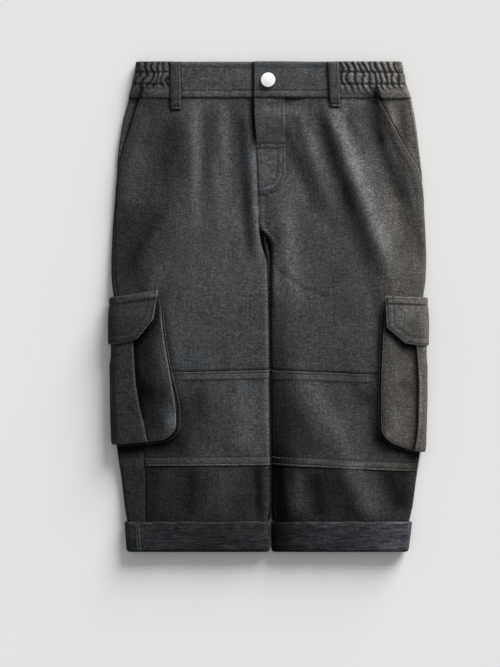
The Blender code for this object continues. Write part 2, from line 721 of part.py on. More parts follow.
def cargo_flap(side, word, finish, group):
    """The flap, sewn to the leg above the pocket and lying over its mouth."""
    lines = FLAP[side]
    columns = []
    for a, b, count in ((lines[0], lines[1], 3), (lines[1], lines[2], 3)):
        for i in range(count):
            columns.append(FlapLine(*(mix(p, q, i / count) for p, q in zip(a, b))))
    end = lines[-1]
    for reach in round_edge(columns[-1].foot_reach - 1, -16.0, -30.0, -POCKET_UNDER):
        columns.append(FlapLine(reach, end.top_down, reach, end.foot_down))
    rows = []
    for line in columns:
        row = []
        for share in spread((0.0, 1.0), (6,)):
            down = mix(line.top_down, line.foot_down, share)
            reach = mix(line.top_reach, line.foot_reach, share)
            covered = ease((down - POCKET_TOP + 10) / 8)
            edge = read(CARGO[side], "edge", down)
            asides = (-4.0, 0.0, 4.0) if reach > EDGE_REACH + 4 else (0.0,)
            near = [min(reach + aside, edge) for aside in asides]
            over = max(pocket_out(side, max(down + 4, POCKET_TOP), place) for place in near) * covered
            out = over + FLAP_WALL + mix(FLAP_CLEAR, CLEAR, ease(0.5 - reach / (2 * EDGE_REACH)))
            row.append(lifted(side, down, reach, out, FLAP_WALL))
        rows.append(row)
    wall("cargo_flap_" + word, rows, finish, group)


def fly_placket(finish, group):
    """The fly's stitched facing on the left front: free above its bar, sewn flat and rounded below."""
    rows = []
    for down in spread(tuple(row.down for row in PLACKET), (2, 2, 2, 1, 1, 1, 1)):
        front, back = read(PLACKET, "front", down), read(PLACKET, "back", down)
        lift = PLACKET_LIFT * (1 - ease((down - 70) / 18))
        row = []
        for share in spread((0.0, 1.0), (6,)):
            x = mix(front, back, share)
            own = RIGHT if x < inner_x(RIGHT, down) else LEFT
            free = lift * (1 - 0.85 * ease(share * 1.3 - 0.2))
            row.append(at(x, down, top_height(own, x, down) + CLEAR + CLOTH + free))
        rows.append(row)
    sheet("fly_placket", rows, CLOTH, finish, group)


def belt_loop(name, loop, finish, group):
    rows = []
    for share in spread((0.0, 1.0), (9,)):
        down = mix(loop.top, loop.foot, share)
        middle = mix(loop.x, loop.foot_x, share)
        on_band = BAND_RISE * (1 - ease((down - WAISTBAND_DEPTH + 0.5) / 3))
        bow = LOOP_BOW * math.sin(math.pi * min(share / 0.92, 1.0))
        row = []
        for across in (-0.5, 0.0, 0.5):
            x = middle + across * loop.width
            out = on_band + CLEAR + 0.25 + LOOP_WALL + bow
            row.append(at(x, down, top_height(loop.side, x, down) + out))
        rows.append(row)
    sheet(name, rows, LOOP_WALL, finish, group)


def button(finish, group):
    """A domed metal button on a short shank, turned on its own axis."""
    Turned = namedtuple("Turned", "radius z")
    profile = (
        Turned(0.0, 3.3), Turned(3.2, 3.2), Turned(5.6, 2.8), Turned(6.9, 2.2), Turned(BUTTON_RADIUS, 1.6),
        Turned(6.9, 1.1), Turned(2.4, 0.9), Turned(2.3, 0.0), Turned(0.0, 0.0),
    )
    outline = bpy.data.meshes.new("button")
    points = [(turned.radius * MM, 0, turned.z * MM) for turned in profile]
    outline.from_pydata(points, [(i, i + 1) for i in range(len(points) - 1)], [])
    piece = add("button", outline, finish, group)
    spin = piece.modifiers.new("Turned", "SCREW")
    spin.steps = spin.render_steps = 28
    spin.use_merge_vertices = True
    spin.merge_threshold = 0.00001
    rest = top_height(LEFT, BUTTON_X, BUTTON_DOWN) + band_out(BUTTON_X)
    piece.location = at(BUTTON_X, BUTTON_DOWN, rest + GAP)


def main():
    for thing in list(bpy.data.objects):
        bpy.data.objects.remove(thing)
    group = collection("cargo_trousers")
    canvas = material("canvas", CANVAS, 0.9)
    wrong_side = material("canvas_wrong_side", CANVAS_WRONG_SIDE, 0.92)
    metal = material("button_metal", METAL, 0.3, 1.0)
    for side, word in ((RIGHT, "right"), (LEFT, "left")):
        rows = front_panels(side, word, canvas, group)
        back_panel(side, word, rows, canvas, group)
        hip_facing(side, word, rows, canvas, group)
        cuff(side, word, wrong_side, group)
        cargo_pocket(side, word, canvas, group)
        cargo_gusset(side, word, canvas, group)
        cargo_flap(side, word, canvas, group)
    waistband_fronts(canvas, group)
    waistband_elastic(canvas, group)
    fly_placket(canvas, group)
    for name, loop in BELT_LOOPS.items():
        belt_loop(name, loop, canvas, group)
    button(metal, group)


main()
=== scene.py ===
"""Child's canvas cargo trousers laid out flat, dressed for rendering on their CAD frame.

Each piece of cloth is a thin shell on its solid's form. The garment's surface is worked out from the same rings as
the solids: over the front of a leg, round its outer edge and back underneath. Seams, gathers, creases and puckers
are raised or sunk from it in millimetres, and stitches follow the same surface.

Places are given as x, across towards the wearer's left, and down, from the waistband's top. A reach is the distance
in from a leg's outer edge, and a turn is a share of the way round a leg.
"""

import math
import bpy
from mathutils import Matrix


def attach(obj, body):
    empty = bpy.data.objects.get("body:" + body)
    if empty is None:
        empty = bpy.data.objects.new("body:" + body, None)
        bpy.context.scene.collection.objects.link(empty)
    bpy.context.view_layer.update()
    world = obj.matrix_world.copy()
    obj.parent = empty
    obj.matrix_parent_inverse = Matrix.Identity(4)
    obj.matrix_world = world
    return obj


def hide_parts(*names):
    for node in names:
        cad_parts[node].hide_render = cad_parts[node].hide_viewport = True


bl_info = {
    "name": "Laid-out Cargo Trousers",
    "version": (1, 0, 0),
    "blender": (4, 5, 0),
    "location": "3D View > Sidebar > Trousers",
    "description": "Dresses the solids of a pair of cargo trousers with cloth, stitching and a studio stage",
    "category": "Object",
}

from collections import namedtuple

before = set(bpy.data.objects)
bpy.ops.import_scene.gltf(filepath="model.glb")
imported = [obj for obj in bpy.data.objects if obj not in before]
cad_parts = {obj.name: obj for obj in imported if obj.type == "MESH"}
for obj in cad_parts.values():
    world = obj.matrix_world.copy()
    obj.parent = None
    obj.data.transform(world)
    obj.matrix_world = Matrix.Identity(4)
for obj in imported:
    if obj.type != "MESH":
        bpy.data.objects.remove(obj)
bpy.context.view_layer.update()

import bmesh
import bpy
import numpy as np
from bpy.props import FloatProperty, FloatVectorProperty, PointerProperty
from mathutils import Vector

MM = 0.001
RIGHT, LEFT = SIDES = (-1, 1)  # the wearer's own sides
WORD = {RIGHT: "right", LEFT: "left"}
QUARTER_TURN = math.pi / 2


def rows_of(kind, *values):
    """A table: its rows, with the columns that its kind names."""
    return tuple(kind(*row) for row in values)


# The garment's sizes, in millimetres, as in its solids
LENGTH = 491.0
CLOTH = 1.3
GAP = 0.3
CLEAR = 0.4
WAISTBAND_DEPTH = 37.0
BAND_WALL, BAND_RISE, ELASTIC_WALL = 2.2, 0.8, 2.6
CROTCH = 178.0
CUFF_TOP, CUFF_WALL, HEM = 461.0, 2.7, 489.4
EDGE_REACH, FOLD_SHARE = 3.6, 0.15
BACKS_APART = 0.44
POCKET_LIFT, CUFF_LIFT = 3.8, 3.1
LAP = 2.6
UNDER_LEG = -60.0  # a reach well underneath

Level = namedtuple("Level", "down right left inner_right inner_left edge crown")
LEVELS = rows_of(Level,
    (0, -131.5, 132.5, -11.5, -11.5, 6.2, 7.0), (12, -133.3, 134.4, -11.5, -11.5, 6.2, 7.0),
    (24, -136.0, 137.3, -11.5, -11.5, 6.2, 7.0), (37, -140.0, 143.0, -11.5, -11.5, 5.6, 7.4),
    (60, -146.2, 147.5, -11.3, -11.3, 5.4, 8.2), (90, -150.5, 151.6, -10.8, -10.8, 5.4, 8.6),
    (120, -152.8, 154.6, -10.2, -10.2, 5.4, 8.8), (160, -156.0, 157.2, -9.6, -9.6, 5.4, 8.8),
    (168, -156.5, 157.6, -9.4, -7.8, 5.5, 8.7), (176, -156.9, 158.0, -8.6, -0.6, 5.6, 8.6),
    (184, -157.2, 158.3, -7.0, 2.6, 5.8, 8.5), (200, -157.8, 158.6, -1.8, 2.8, 6.4, 8.6),
    (220, -157.0, 157.4, -1.0, 2.2, 8.2, 9.2), (236, -155.0, 155.2, -0.6, 2.1, 9.2, 9.8),
    (270, -154.2, 154.4, 0.0, 2.4, 9.4, 9.8), (340, -153.4, 154.0, 0.6, 3.0, 9.4, 9.8),
    (378, -152.6, 153.2, 1.0, 3.4, 9.2, 9.6), (396, -150.6, 151.4, 1.2, 3.6, 8.6, 9.0),
    (420, -147.2, 148.2, 1.3, 3.8, 7.0, 8.4), (446, -144.2, 144.6, 1.2, 3.8, 7.8, 8.8),
    (461, -141.6, 141.2, -1.2, 5.6, 8.6, 9.2), (491, -139.2, 137.4, -1.7, 5.9, 8.6, 9.0))

# Ridges (+) and troughs (-): a line on one side's cloth, half its width, its height
Fold = namedtuple("Fold", "x down to_x to_down width height")
FOLDS = {
    RIGHT: rows_of(Fold,
        (-88, 44, -98, 140, 10, 2.6), (-96, 118, -132, 216, 12, 2.0), (-61, 42, -57, 140, 8, 1.5),
        (-34, 44, -26, 172, 7, -1.6), (-44, 318, -38, 392, 16, 1.0), (-56, 402, -50, 470, 14, 1.3),
        (-11, 406, -9, 462, 4.5, -1.3)),
    LEFT: rows_of(Fold,
        (58, 46, 122, 222, 11, 3.2), (46, 52, 100, 226, 9, -1.8), (94, 48, 148, 190, 10, -1.3),
        (34, 44, 44, 104, 8, 1.3), (22, 92, 70, 180, 9, -1.5), (10, 186, 14, 400, 9, -1.6),
        (74, 318, 88, 392, 12, 1.2), (15, 404, 19, 470, 8, 1.5), (70, 404, 100, 470, 9, 1.9)),
}
# Smaller creases that only the cloth shows
CREASES = {
    RIGHT: rows_of(Fold,
        (-77, 42, -75, 150, 6, 1.4), (-56, 42, -55, 104, 5, -0.8), (-48, 42, -44, 110, 5, 0.9),
        (-30, 50, -20, 195, 5, -1.5), (-17, 88, -12, 190, 4, 1.0), (-116, 46, -128, 96, 4, -0.9),
        (-104, 148, -146, 214, 7, -1.3), (-98, 200, -128, 228, 6, 1.0), (-101, 246, -94, 306, 6, 1.0),
        (-72, 318, -62, 392, 10, -0.7), (-30, 316, -27, 394, 9, 0.9), (-80, 408, -84, 458, 7, -1.3),
        (-104, 408, -114, 456, 6, 0.9), (-14, 406, -11, 460, 4, -1.0)),
    LEFT: rows_of(Fold,
        (58, 44, 122, 212, 8, 2.2), (48, 48, 106, 210, 6, -1.2), (112, 44, 132, 110, 5, -1.4),
        (130, 104, 152, 196, 6, -1.5), (15, 70, 52, 158, 7, -1.0), (30, 50, 52, 120, 6, 0.9),
        (78, 56, 96, 104, 5, -0.8), (14, 150, 20, 230, 7, 1.2), (8, 208, 34, 226, 2.4, -0.7),
        (32, 226, 62, 236, 2.4, -0.6), (104, 228, 112, 296, 6, -0.9), (30, 314, 118, 462, 12, 1.6),
        (20, 344, 44, 398, 9, -1.2), (100, 326, 110, 392, 7, -1.2), (27, 408, 29, 452, 6, 1.2),
        (44, 414, 52, 460, 7, -1.5), (116, 410, 130, 456, 7, -1.3)),
}
# Painted light and shade: lines on one side's cloth, lighter (+) or darker (-) than round it, as shares of its tone
# They paint the lit and shaded flanks of folds, and light and shadow by the fly, the pockets and the waist
PAINTED_LIGHT_LINES = {
    RIGHT: rows_of(Fold,
        (-16.5, 34, -13.5, 84, 3.2, -0.85), (-72, 42, -72, 176, 6.5, 0.40), (-90, 46, -84, 124, 8, -0.45),
        (-61, 42, -60, 130, 5, -0.30), (-56, 42, -56, 104, 5, -0.25), (-46, 42, -44, 190, 7, 0.20),
        (-37, 42, -33, 150, 4, -0.22), (-30, 50, -27, 112, 6.5, -0.38), (-27, 104, -17, 204, 6, -0.42),
        (-125.5, 23, -130, 40, 2.4, -0.85), (-128, 40, -137, 150, 13, 0.90), (-74, 330, -90, 404, 17, -0.42),
        (-32, 404, -34, 436, 13, 0.45), (-17, 316, -12, 400, 12, 0.16), (-14.5, 88, -12, 160, 4.2, 0.70),
        (-12.5, 140, -8, 204, 4, 0.45), (-3, 196, -1, 306, 2.4, 0.30), (-102, 58, -97, 134, 10, -0.40),
        (-106, 150, -146, 214, 8, -0.30), (-96, 204, -124, 230, 7, 0.30), (-91, 236, -86, 300, 4, 0.16),
        (-24, 318, -21, 394, 10, 0.22), (-3, 312, -2, 402, 2.8, 0.35), (-72, 318, -62, 392, 11, -0.15),
        (-46, 408, -42, 458, 10, 0.30), (-98, 408, -108, 456, 8, 0.30), (-76, 408, -80, 460, 8, -0.35),
        (-12, 406, -9, 460, 4, -0.55), (-3, 406, -2, 461, 2.4, 0.50)),
    LEFT: rows_of(Fold,
        (64, 44, 90, 120, 8, 0.45), (82, 84, 124, 186, 16, 0.52), (50, 50, 84, 150, 6, -0.40),
        (70, 110, 114, 250, 10, -0.30), (106, 24, 111, 40, 3.2, -0.90), (94, 34, 112, 36, 5, -0.35),
        (107, 34, 114, 84, 8, -0.80), (113, 78, 136, 140, 8, -0.66), (134, 132, 144, 192, 7.5, -0.38),
        (121, 38, 128, 66, 3.2, 0.70), (134, 42, 138, 84, 4.5, -0.50), (146, 40, 150, 110, 4, 0.40),
        (70, 39, 98, 39, 5, 0.70), (132, 318, 142, 336, 6, -0.34), (80, 310, 95, 346, 8, -0.38),
        (124, 344, 134, 362, 6, 0.24), (140, 294, 142, 310, 4, 0.22), (120, 300, 124, 336, 5, 0.16),
        (14, 62, 52, 162, 6, -0.30), (30, 50, 64, 140, 6, 0.30), (19, 116, 24, 248, 12, 0.55),
        (66, 202, 84, 262, 14, -0.16), (82, 404, 110, 458, 9, 0.85), (76, 432, 88, 464, 8, -0.22),
        (134, 406, 137, 446, 7, -0.45), (-5, 92, 4, 142, 8, 0.18), (-6, 69, 22, 72, 5, -0.30),
        (-10, 48, 38, 50, 8, 0.50), (8, 210, 34, 227, 2.2, -0.28), (32, 227, 62, 237, 2.2, -0.24),
        (34, 312, 118, 462, 13, 0.45), (22, 346, 44, 398, 11, -0.30), (101, 326, 108, 392, 8, -0.38),
        (30, 408, 32, 452, 6, 0.40), (46, 416, 52, 460, 8, -0.45), (118, 410, 130, 456, 9, -0.40)),
}
FAINTEST, STRONGEST = 0.10, 2.6

Seam = namedtuple("Seam", "down right left")
SIDE_SEAM = rows_of(Seam,
    (37, -1.5, -1.5), (110, -1.5, -1.5), (140, 0.6, -1.5), (170, 3.0, -1.5), (236, 4.4, -1.5),
    (300, 12.0, -1.5), (370, 24.5, -1.5), (396, 26.0, -1.5), (446, 20.8, -1.5), (461, 18.6, -1.5),
    (491, 15.0, -1.5))
POCKET_MOUTH = rows_of(Seam,
    (37, 10.8, 32.5), (64, 8.9, 22.9), (90, 4.2, 12.0), (104, 1.6, 4.6), (112, 0.8, 1.8), (122, 0.0, 0.4),
    (130, -1.0, -0.6), (145, -2.0, -2.0))
FACING_UNDERLAP, FACING_FOOT = 6.0, 128.0
Slope = namedtuple("Slope", "inner drop")
LEVEL_SEAM = Slope(0.0, 0.0)
KNEE_SEAM = {RIGHT: Slope(308.5, 5.0), LEFT: Slope(308.0, 9.0)}
SHIN_SEAM = {RIGHT: Slope(404.2, 1.4), LEFT: Slope(403.4, 8.6)}
SEAM_BAND, SEAM_RISE = 8.0, 0.6

Cargo = namedtuple("Cargo", "down edge pleat")
CARGO = {
    RIGHT: rows_of(Cargo,
        (238, 46.0, 18.0), (280, 50.0, 18.6), (320, 56.4, 20.6), (345, 60.2, 24.2), (366, 60.6, 29.0),
        (392, 59.5, 33.0)),
    LEFT: rows_of(Cargo,
        (238, 39.0, 8.2), (280, 40.2, 6.8), (316, 41.6, 4.2), (346, 41.6, 3.9), (366, 41.0, 4.3),
        (392, 38.5, 6.4)),
}
POCKET_END = 372.0  # where the pocket's edge and pleat meet its foot
# The pocket's foot: a line that drops away from the front edge, with a rounded corner
Corner = namedtuple("Corner", "down slope far_slope wide high")
POCKET_FOOT = {RIGHT: Corner(376.6, 0.16, 0.08, 16.0, 14.0), LEFT: Corner(378.6, 0.34, 0.25, 13.0, 11.0)}
POCKET_TOP, POCKET_UNDER = 238.6, 44.0
POCKET_DEPTH, MOUTH_DEPTH = 5.6, 3.0
PLEAT_RISE, PLEAT_SINK, EDGE_DROP = 1.4, 3.2, 0.12
GUSSET_WALL, GUSSET_START = 1.3, 10.0
FLAP_WALL, FLAP_CLEAR = 1.7, 0.9
FlapLine = namedtuple("FlapLine", "top_reach top_down foot_reach foot_down")
FLAP = {
    RIGHT: rows_of(FlapLine,
        (45.0, 229.0, 39.5, 258.0), (29.0, 231.6, 23.0, 278.4), (0, 236.2, 0, 283.6)),
    LEFT: rows_of(FlapLine,
        (38.6, 235.0, 36.4, 266.6), (20.0, 235.8, 18.0, 282.2), (0, 236.4, 0, 284.8)),
}

ELASTIC_END = {RIGHT: -94.5, LEFT: 65.5}
GATHERS = {RIGHT: 9.5, LEFT: 16}
GATHER_HEIGHT = {RIGHT: 1.7, LEFT: 2.2}
# How far along the ridges have moved at each row of the elastic's stitches, in ridges
Drift = namedtuple("Drift", "down right left")
DRIFT = rows_of(Drift,
    (0.0, 0.0, 0.0), (11.0, -0.25, 0.6), (17.0, -0.1, 0.5), (23.0, 0.1, 0.6), (37.0, 0.2, 1.0))
CHANNELS = (11.0, 23.0)  # the elastic's rows of stitches
GATHER_FOOT = {RIGHT: 27.0, LEFT: 32.0}  # where the ridges have flattened out
LAP_EDGE, UNDERLAP_EDGE, LAP_EASE = -14.4, 12.0, 30.0
Placket = namedtuple("Placket", "down front back")
PLACKET = rows_of(Placket,
    (37.5, -14.3, 16.6), (60.0, -13.6, 16.8), (84.0, -11.6, 17.0), (100.0, -10.8, 17.2), (112.0, -10.2, 17.0),
    (122.0, -9.8, 14.4), (129.0, -9.4, 7.4), (133.0, -9.0, -3.8))
PLACKET_LIFT = 1.5
Loop = namedtuple("Loop", "side x foot_x top foot width")
BELT_LOOPS = {
    "belt_loop_right": Loop(RIGHT, -93.6, -92.8, 1.0, 48.0, 10.6),
    "belt_loop_left": Loop(LEFT, 64.6, 66.8, 1.0, 45.4, 10.6),
}
LOOP_WALL, LOOP_BOW = 1.5, 0.7
BUTTON_X, BUTTON_DOWN = -0.5, 19.2
PHOTO_MIDDLE = (-18.5, 272.5)  # what the camera looks down on: x, down
SENSOR, PHOTO_LENGTH = 36.0, 0.667  # the camera's, in mm, and the metres that it sees along its longer side
FLOOR_HALF, FLOOR_LEVEL = 3.0, -0.0002  # metres

# Rows of stitches, by their distance in from the edge or seam that they follow, or else down the garment
MOUTH_ROW, SEAM_ROW, CENTRE_ROW, POCKET_ROW = 1.6, 1.7, 1.6, 1.8
BAND_ROWS, LAP_ROW = (5.6, 29.4), 2.0
PLACKET_ROWS, BAR_ROWS = (2.6, 7.8), (82.5, 86.8)
FLAP_ROWS, FLAP_TOP_ROWS = (1.6, 7.4), (1.6, 8.0)
LOOP_ROW, LOOP_BAR = 1.7, 3.0
TACK_PITCH = 0.32  # from one crossing of a bar tack's thread to the next
TACK_RADIUS, OVERLOCK_RADIUS = 0.0002, 0.00022  # metres

# The left leg's inner side turns away from the light: how far in it is black, how far on from there it brightens,
# and how dark it is
Dusk = namedtuple("Dusk", "down black wide dark")
DUSK = rows_of(Dusk,
    (150, 0.0, 4.0, 0.0), (176, 0.0, 5.0, 0.45), (190, 0.0, 6.0, 0.55), (220, 0.0, 7.0, 0.65),
    (250, 0.0, 13.0, 0.68), (280, 0.0, 19.0, 0.72), (320, 1.0, 30.0, 0.78), (345, 2.0, 34.0, 0.82),
    (370, 2.5, 44.0, 0.84), (400, 5.0, 38.0, 0.92), (430, 8.0, 17.0, 0.95), (452, 12.0, 14.0, 0.96),
    (461, 3.0, 48.0, 0.90), (491, 2.0, 48.0, 0.88))
# Painted light and shade: lighter across towards the key light at the wearer's left, darker down the lower legs
Shade = namedtuple("Shade", "place shade")
PAINTED_LIGHT_ACROSS = rows_of(Shade,
    (-158, 0.40), (-122, 0.53), (-96, 0.84), (-70, 1.06), (-40, 1.05), (-14, 1.02), (30, 1.00), (92, 1.08),
    (124, 1.32), (158, 1.38))
PAINTED_SHADE_DOWN = rows_of(Shade,
    (0, 1.06), (60, 1.06), (150, 1.08), (240, 0.98), (300, 0.90), (360, 0.85), (398, 0.74), (410, 0.42),
    (491, 0.36))


# --- settings -------------------------------------------------------------------------------------------------------


def colour_setting(name, description, default):
    return FloatVectorProperty(
        name=name, description=description, subtype="COLOR", size=3, min=0, max=1, default=default
    )


def length_setting(name, description, default, least, most):
    return FloatProperty(
        name=name, description=description, unit="LENGTH", default=default, min=least, max=most, precision=6
    )


def angle_setting(name, description, degrees, least, most):
    return FloatProperty(
        name=name, description=description, unit="ROTATION", subtype="ANGLE", default=math.radians(degrees),
        min=math.radians(least), max=math.radians(most),
    )


def strength_setting(name, description, default, most=100.0):
    return FloatProperty(name=name, description=description, default=default, min=0, max=most)


class TrousersCloth(bpy.types.PropertyGroup):
    canvas: colour_setting("Canvas", "Washed charcoal of the cloth's right side", (0.0546, 0.0563, 0.0598))
    side_cast: colour_setting(
        "Side Cast", "The canvas where washing has left it browner, at the sides", (0.0615, 0.0569, 0.0531)
    )
    wrong_side: colour_setting("Wrong Side", "The side of the cloth that the cuffs show", (0.0259, 0.0259, 0.0297))
    thread: colour_setting("Thread", "Topstitching thread", (0.062, 0.063, 0.066))
    overlock: colour_setting("Overlock Thread", "Green thread that binds the cuff's seam", (0.10, 0.16, 0.09))
    weave_size: length_setting("Weave Size", "Size of the yarns that show", 0.00138, 0.0002, 0.004)
    wrinkle: strength_setting("Wrinkles", "Strength of the soft uneven waviness", 1.0, 3)
    crease: strength_setting("Creases", "Strength of the small creases", 1.0, 3)


class TrousersSewing(bpy.types.PropertyGroup):
    stitch: length_setting("Stitch Length", "Length of a topstitch that shows", 0.0021, 0.0005, 0.006)
    pitch: length_setting("Stitch Pitch", "From one topstitch to the next", 0.0028, 0.001, 0.008)
    thread_radius: length_setting("Thread Radius", "Radius of the topstitching thread", 0.00032, 0.00005, 0.001)
    gauge: length_setting("Needle Gauge", "Between the two rows of a twin-stitched seam", 0.0064, 0.002, 0.01)


class TrousersStage(bpy.types.PropertyGroup):
    floor: colour_setting("Floor", "The pale surface that the trousers lie on", (0.80, 0.80, 0.80))
    key: strength_setting("Key Light", "Strength of the low soft light from the top right", 6.3)
    key_height: angle_setting("Key Height", "How high the key light stands above the floor", 17, 0, 90)
    key_side: angle_setting("Key Side", "How far round to the right of the waist the key light is", 31, -180, 180)
    key_spread: angle_setting("Key Spread", "How wide the key light is, seen from the trousers", 34, 0, 90)
    sky: strength_setting("Sky", "Strength of the even light from all round", 0.385)
    lens: FloatProperty(name="Lens", description="Focal length of the camera", unit="CAMERA", default=85.0)


# --- the garment's surface ------------------------------------------------------------------------------------------


def ease(share):
    share = np.clip(share, 0.0, 1.0)
    return share * share * (3 - 2 * share)


def mix(a, b, share):
    return a + (b - a) * share


def bump(distance, width):
    """1 on a line and soft away from it."""
    return np.exp(-((distance / width) ** 2))


def read(table, column, down):
    """A column of a table at distances down the garment, on a smooth curve through its rows."""
    places = np.array([row[0] for row in table], float)
    values = np.array([getattr(row, column) for row in table], float)
    down = np.clip(down, places[0], places[-1])
    k = np.clip(np.searchsorted(places, down, side="right") - 1, 0, len(places) - 2)
    slope = np.empty_like(values)
    slope[1:-1] = (values[2:] - values[:-2]) / (places[2:] - places[:-2])
    slope[0] = (values[1] - values[0]) / (places[1] - places[0])
    slope[-1] = (values[-1] - values[-2]) / (places[-1] - places[-2])
    step = places[k + 1] - places[k]
    t = (down - places[k]) / step
    return (
        (2 * t**3 - 3 * t**2 + 1) * values[k]
        + (t**3 - 2 * t**2 + t) * step * slope[k]
        + (3 * t**2 - 2 * t**3) * values[k + 1]
        + (t**3 - t**2) * step * slope[k + 1]
    )


def lattice(i, j, seed):
    value = np.sin(i * 127.1 + j * 311.7 + seed * 74.7) * 43758.5453
    return (value - np.floor(value)) * 2 - 1


def uneven(x, y, seed):
    """Soft noise from -1 to 1, with features one unit wide."""
    i, j = np.floor(x), np.floor(y)
    u, v = ease(x - i), ease(y - j)
    top = mix(lattice(i, j, seed), lattice(i + 1, j, seed), u)
    foot = mix(lattice(i, j + 1, seed), lattice(i + 1, j + 1, seed), u)
    return mix(top, foot, v)


def at_level(seed_place):
    """Half way along a noise's second direction, so that it varies along its first alone."""
    return 0.5 + 0 * seed_place


def outer_x(side, down):
    return read(LEVELS, WORD[side], down)


def inner_x(side, down, under=False):
    x = read(LEVELS, "inner_" + WORD[side], down)
    if not under:
        return x
    middle = (read(LEVELS, "inner_right", down) + read(LEVELS, "inner_left", down)) / 2
    together = mix(middle + side * BACKS_APART / 2, x, ease((down - CUFF_TOP + 5) / 6))
    return mix(0.0, together, ease((down - CROTCH + 16) / 20))


def across_leg(side, x, down):
    """Where a place lies from the leg's inner edge, 0, to its outer edge, 1."""
    near, far = inner_x(side, down), outer_x(side, down)
    return np.clip((x - near) / (far - near), 0.0, 1.0), np.abs(far - near)


def fold_height(folds, side, x, down):
    total = np.zeros(np.broadcast(x, down).shape)
    for fold in folds[side]:
        run_x, run_down = fold.to_x - fold.x, fold.to_down - fold.down
        length = math.hypot(run_x, run_down)
        along = ((x - fold.x) * run_x + (down - fold.down) * run_down) / length**2
        off = ((x - fold.x) * run_down - (down - fold.down) * run_x) / length
        fade = ease(along / 0.3 + 0.35) * ease((1 - along) / 0.3 + 0.35)
        total += fold.height * fade * bump(off, fold.width)
    return total


def calm_at(side, x, down):
    """0 where a fold has to die away: at the cloth's folded edges, the waistband and the cuffs."""
    share, width = across_leg(side, x, down)
    inner = mix(1.0, share, ease((down - CROTCH + 14) / 28))
    edges = ease(np.minimum(inner, 1 - share) * width / 9 - 0.1)
    return edges * ease((down - WAISTBAND_DEPTH + 12) / 22) * (1 - ease((down - CUFF_TOP + 13) / 16))


def large_folds(side, x, down):
    return fold_height(FOLDS, side, x, down) * calm_at(side, x, down)


def top_height(side, x, down):
    share, _ = across_leg(side, x, down)
    joined = 0.12 * (1 - ease((down - CROTCH + 14) / 28))
    arch = np.sin(math.pi * (joined + (1 - joined) * share)).clip(0) ** 0.7
    edge = read(LEVELS, "edge", down)
    return edge + (read(LEVELS, "crown", down) - edge) * arch + large_folds(side, x, down)


def back_height(side, x, down):
    in_from_edge = np.abs(outer_x(side, down) - x)
    over_pocket = ease((POCKET_UNDER + 22 - in_from_edge) / 16)
    beside_pocket = ease((down - 206) / 18) * ease((418 - down) / 16)
    return np.maximum(POCKET_LIFT * over_pocket * beside_pocket, CUFF_LIFT * ease((down - 440) / 18))


def ring(side, down, turn):
    """(x, z) of the cloth's outer face. A turn is 0 at the leg's inner edge, 1 at its outer edge and 2 at the inner
    edge underneath."""
    under = turn > 1
    travel = np.where(under, 2 - turn, turn)
    near = np.where(under, inner_x(side, down, True), inner_x(side, down))
    far = outer_x(side, down)
    closed = ease((down - CROTCH + 12) / 14)
    at_inner = np.clip(travel / FOLD_SHARE, -1, 1) * QUARTER_TURN
    at_outer = np.clip((1 - travel) / FOLD_SHARE, -1, 1) * QUARTER_TURN
    share = np.clip((travel - FOLD_SHARE) / (1 - 2 * FOLD_SHARE), 0, 1)
    x = mix(near + side * EDGE_REACH, far - side * EDGE_REACH, share)
    inner_turn = near + side * EDGE_REACH * mix(at_inner / QUARTER_TURN, 1 - np.cos(at_inner), closed)
    x = np.where(travel < FOLD_SHARE, inner_turn, x)
    x = np.where(travel > 1 - FOLD_SHARE, far - side * EDGE_REACH * (1 - np.cos(at_outer)), x)
    rise = np.where(travel < FOLD_SHARE, 1 - closed * (1 - np.sin(at_inner)), 1.0)
    rise = np.where(travel > 1 - FOLD_SHARE, np.sin(at_outer), rise)
    top, back = top_height(side, x, down), back_height(side, x, down)
    return x, mix((top + back) / 2, np.where(under, back, top), rise)


def heading(side, down, turn):
    before, after = np.maximum(turn - 0.004, 0.0), np.minimum(turn + 0.004, 2.0)
    x0, z0 = ring(side, down, before)
    x1, z1 = ring(side, down, after)
    length = np.hypot(x1 - x0, z1 - z0)
    return (x1 - x0) / length, (z1 - z0) / length, length / (after - before)


def at(x, down, z):
    """Places on the garment, in metres."""
    x, down, z = np.broadcast_arrays(x, down, z)
    return np.stack([x, LENGTH / 2 - down, z], axis=-1) * MM


def moved_out(side, down, turn, out):
    """Places on the ring, moved out along its normal, in metres."""
    down, turn, out = np.broadcast_arrays(np.asarray(down, float), np.asarray(turn, float), np.asarray(out, float))
    x, z = ring(side, down, turn)
    run, rise, _ = heading(side, down, turn)
    return at(x - side * rise * out, down, np.maximum(z + side * run * out, 0.0))


def turn_at_reach(side, down, reach):
    """The turn of the ring that is this far in from the outer edge: over the front, or under it if negative."""
    size = np.abs(reach)
    rounded = 1 - FOLD_SHARE * np.arccos(np.clip(1 - size / EDGE_REACH, -1, 1)) / QUARTER_TURN
    near = np.where(reach < 0, inner_x(side, down, True), inner_x(side, down))
    span = np.abs(outer_x(side, down) - near) - 2 * EDGE_REACH
    flat = 1 - FOLD_SHARE - (size - EDGE_REACH) / span * (1 - 2 * FOLD_SHARE)
    travel = np.where(size < EDGE_REACH, rounded, flat)
    return np.where(reach >= 0, travel, 2 - travel)


def at_reach(side, down, reach, out):
    """Places this far in from the outer edge, moved out from the cloth, in metres."""
    down, reach = np.asarray(down, float), np.asarray(reach, float)
    return moved_out(side, down, turn_at_reach(side, down, reach), out)


def turn_at_x(side, down, x):
    return turn_at_reach(side, down, np.abs(outer_x(side, down) - x))


def shifted(side, down, turn, distance):
    return turn + distance / heading(side, down, turn)[2]


def between(stops, counts):
    """Columns of values from stop to stop. Each stop is a number or a column of them."""
    columns = [np.asarray(stops[0], float)]
    for start, end, count in zip(stops, stops[1:], counts):
        columns += [mix(start, end, (i + 1) / count) for i in range(count)]
    return np.stack(np.broadcast_arrays(*columns), axis=-1)


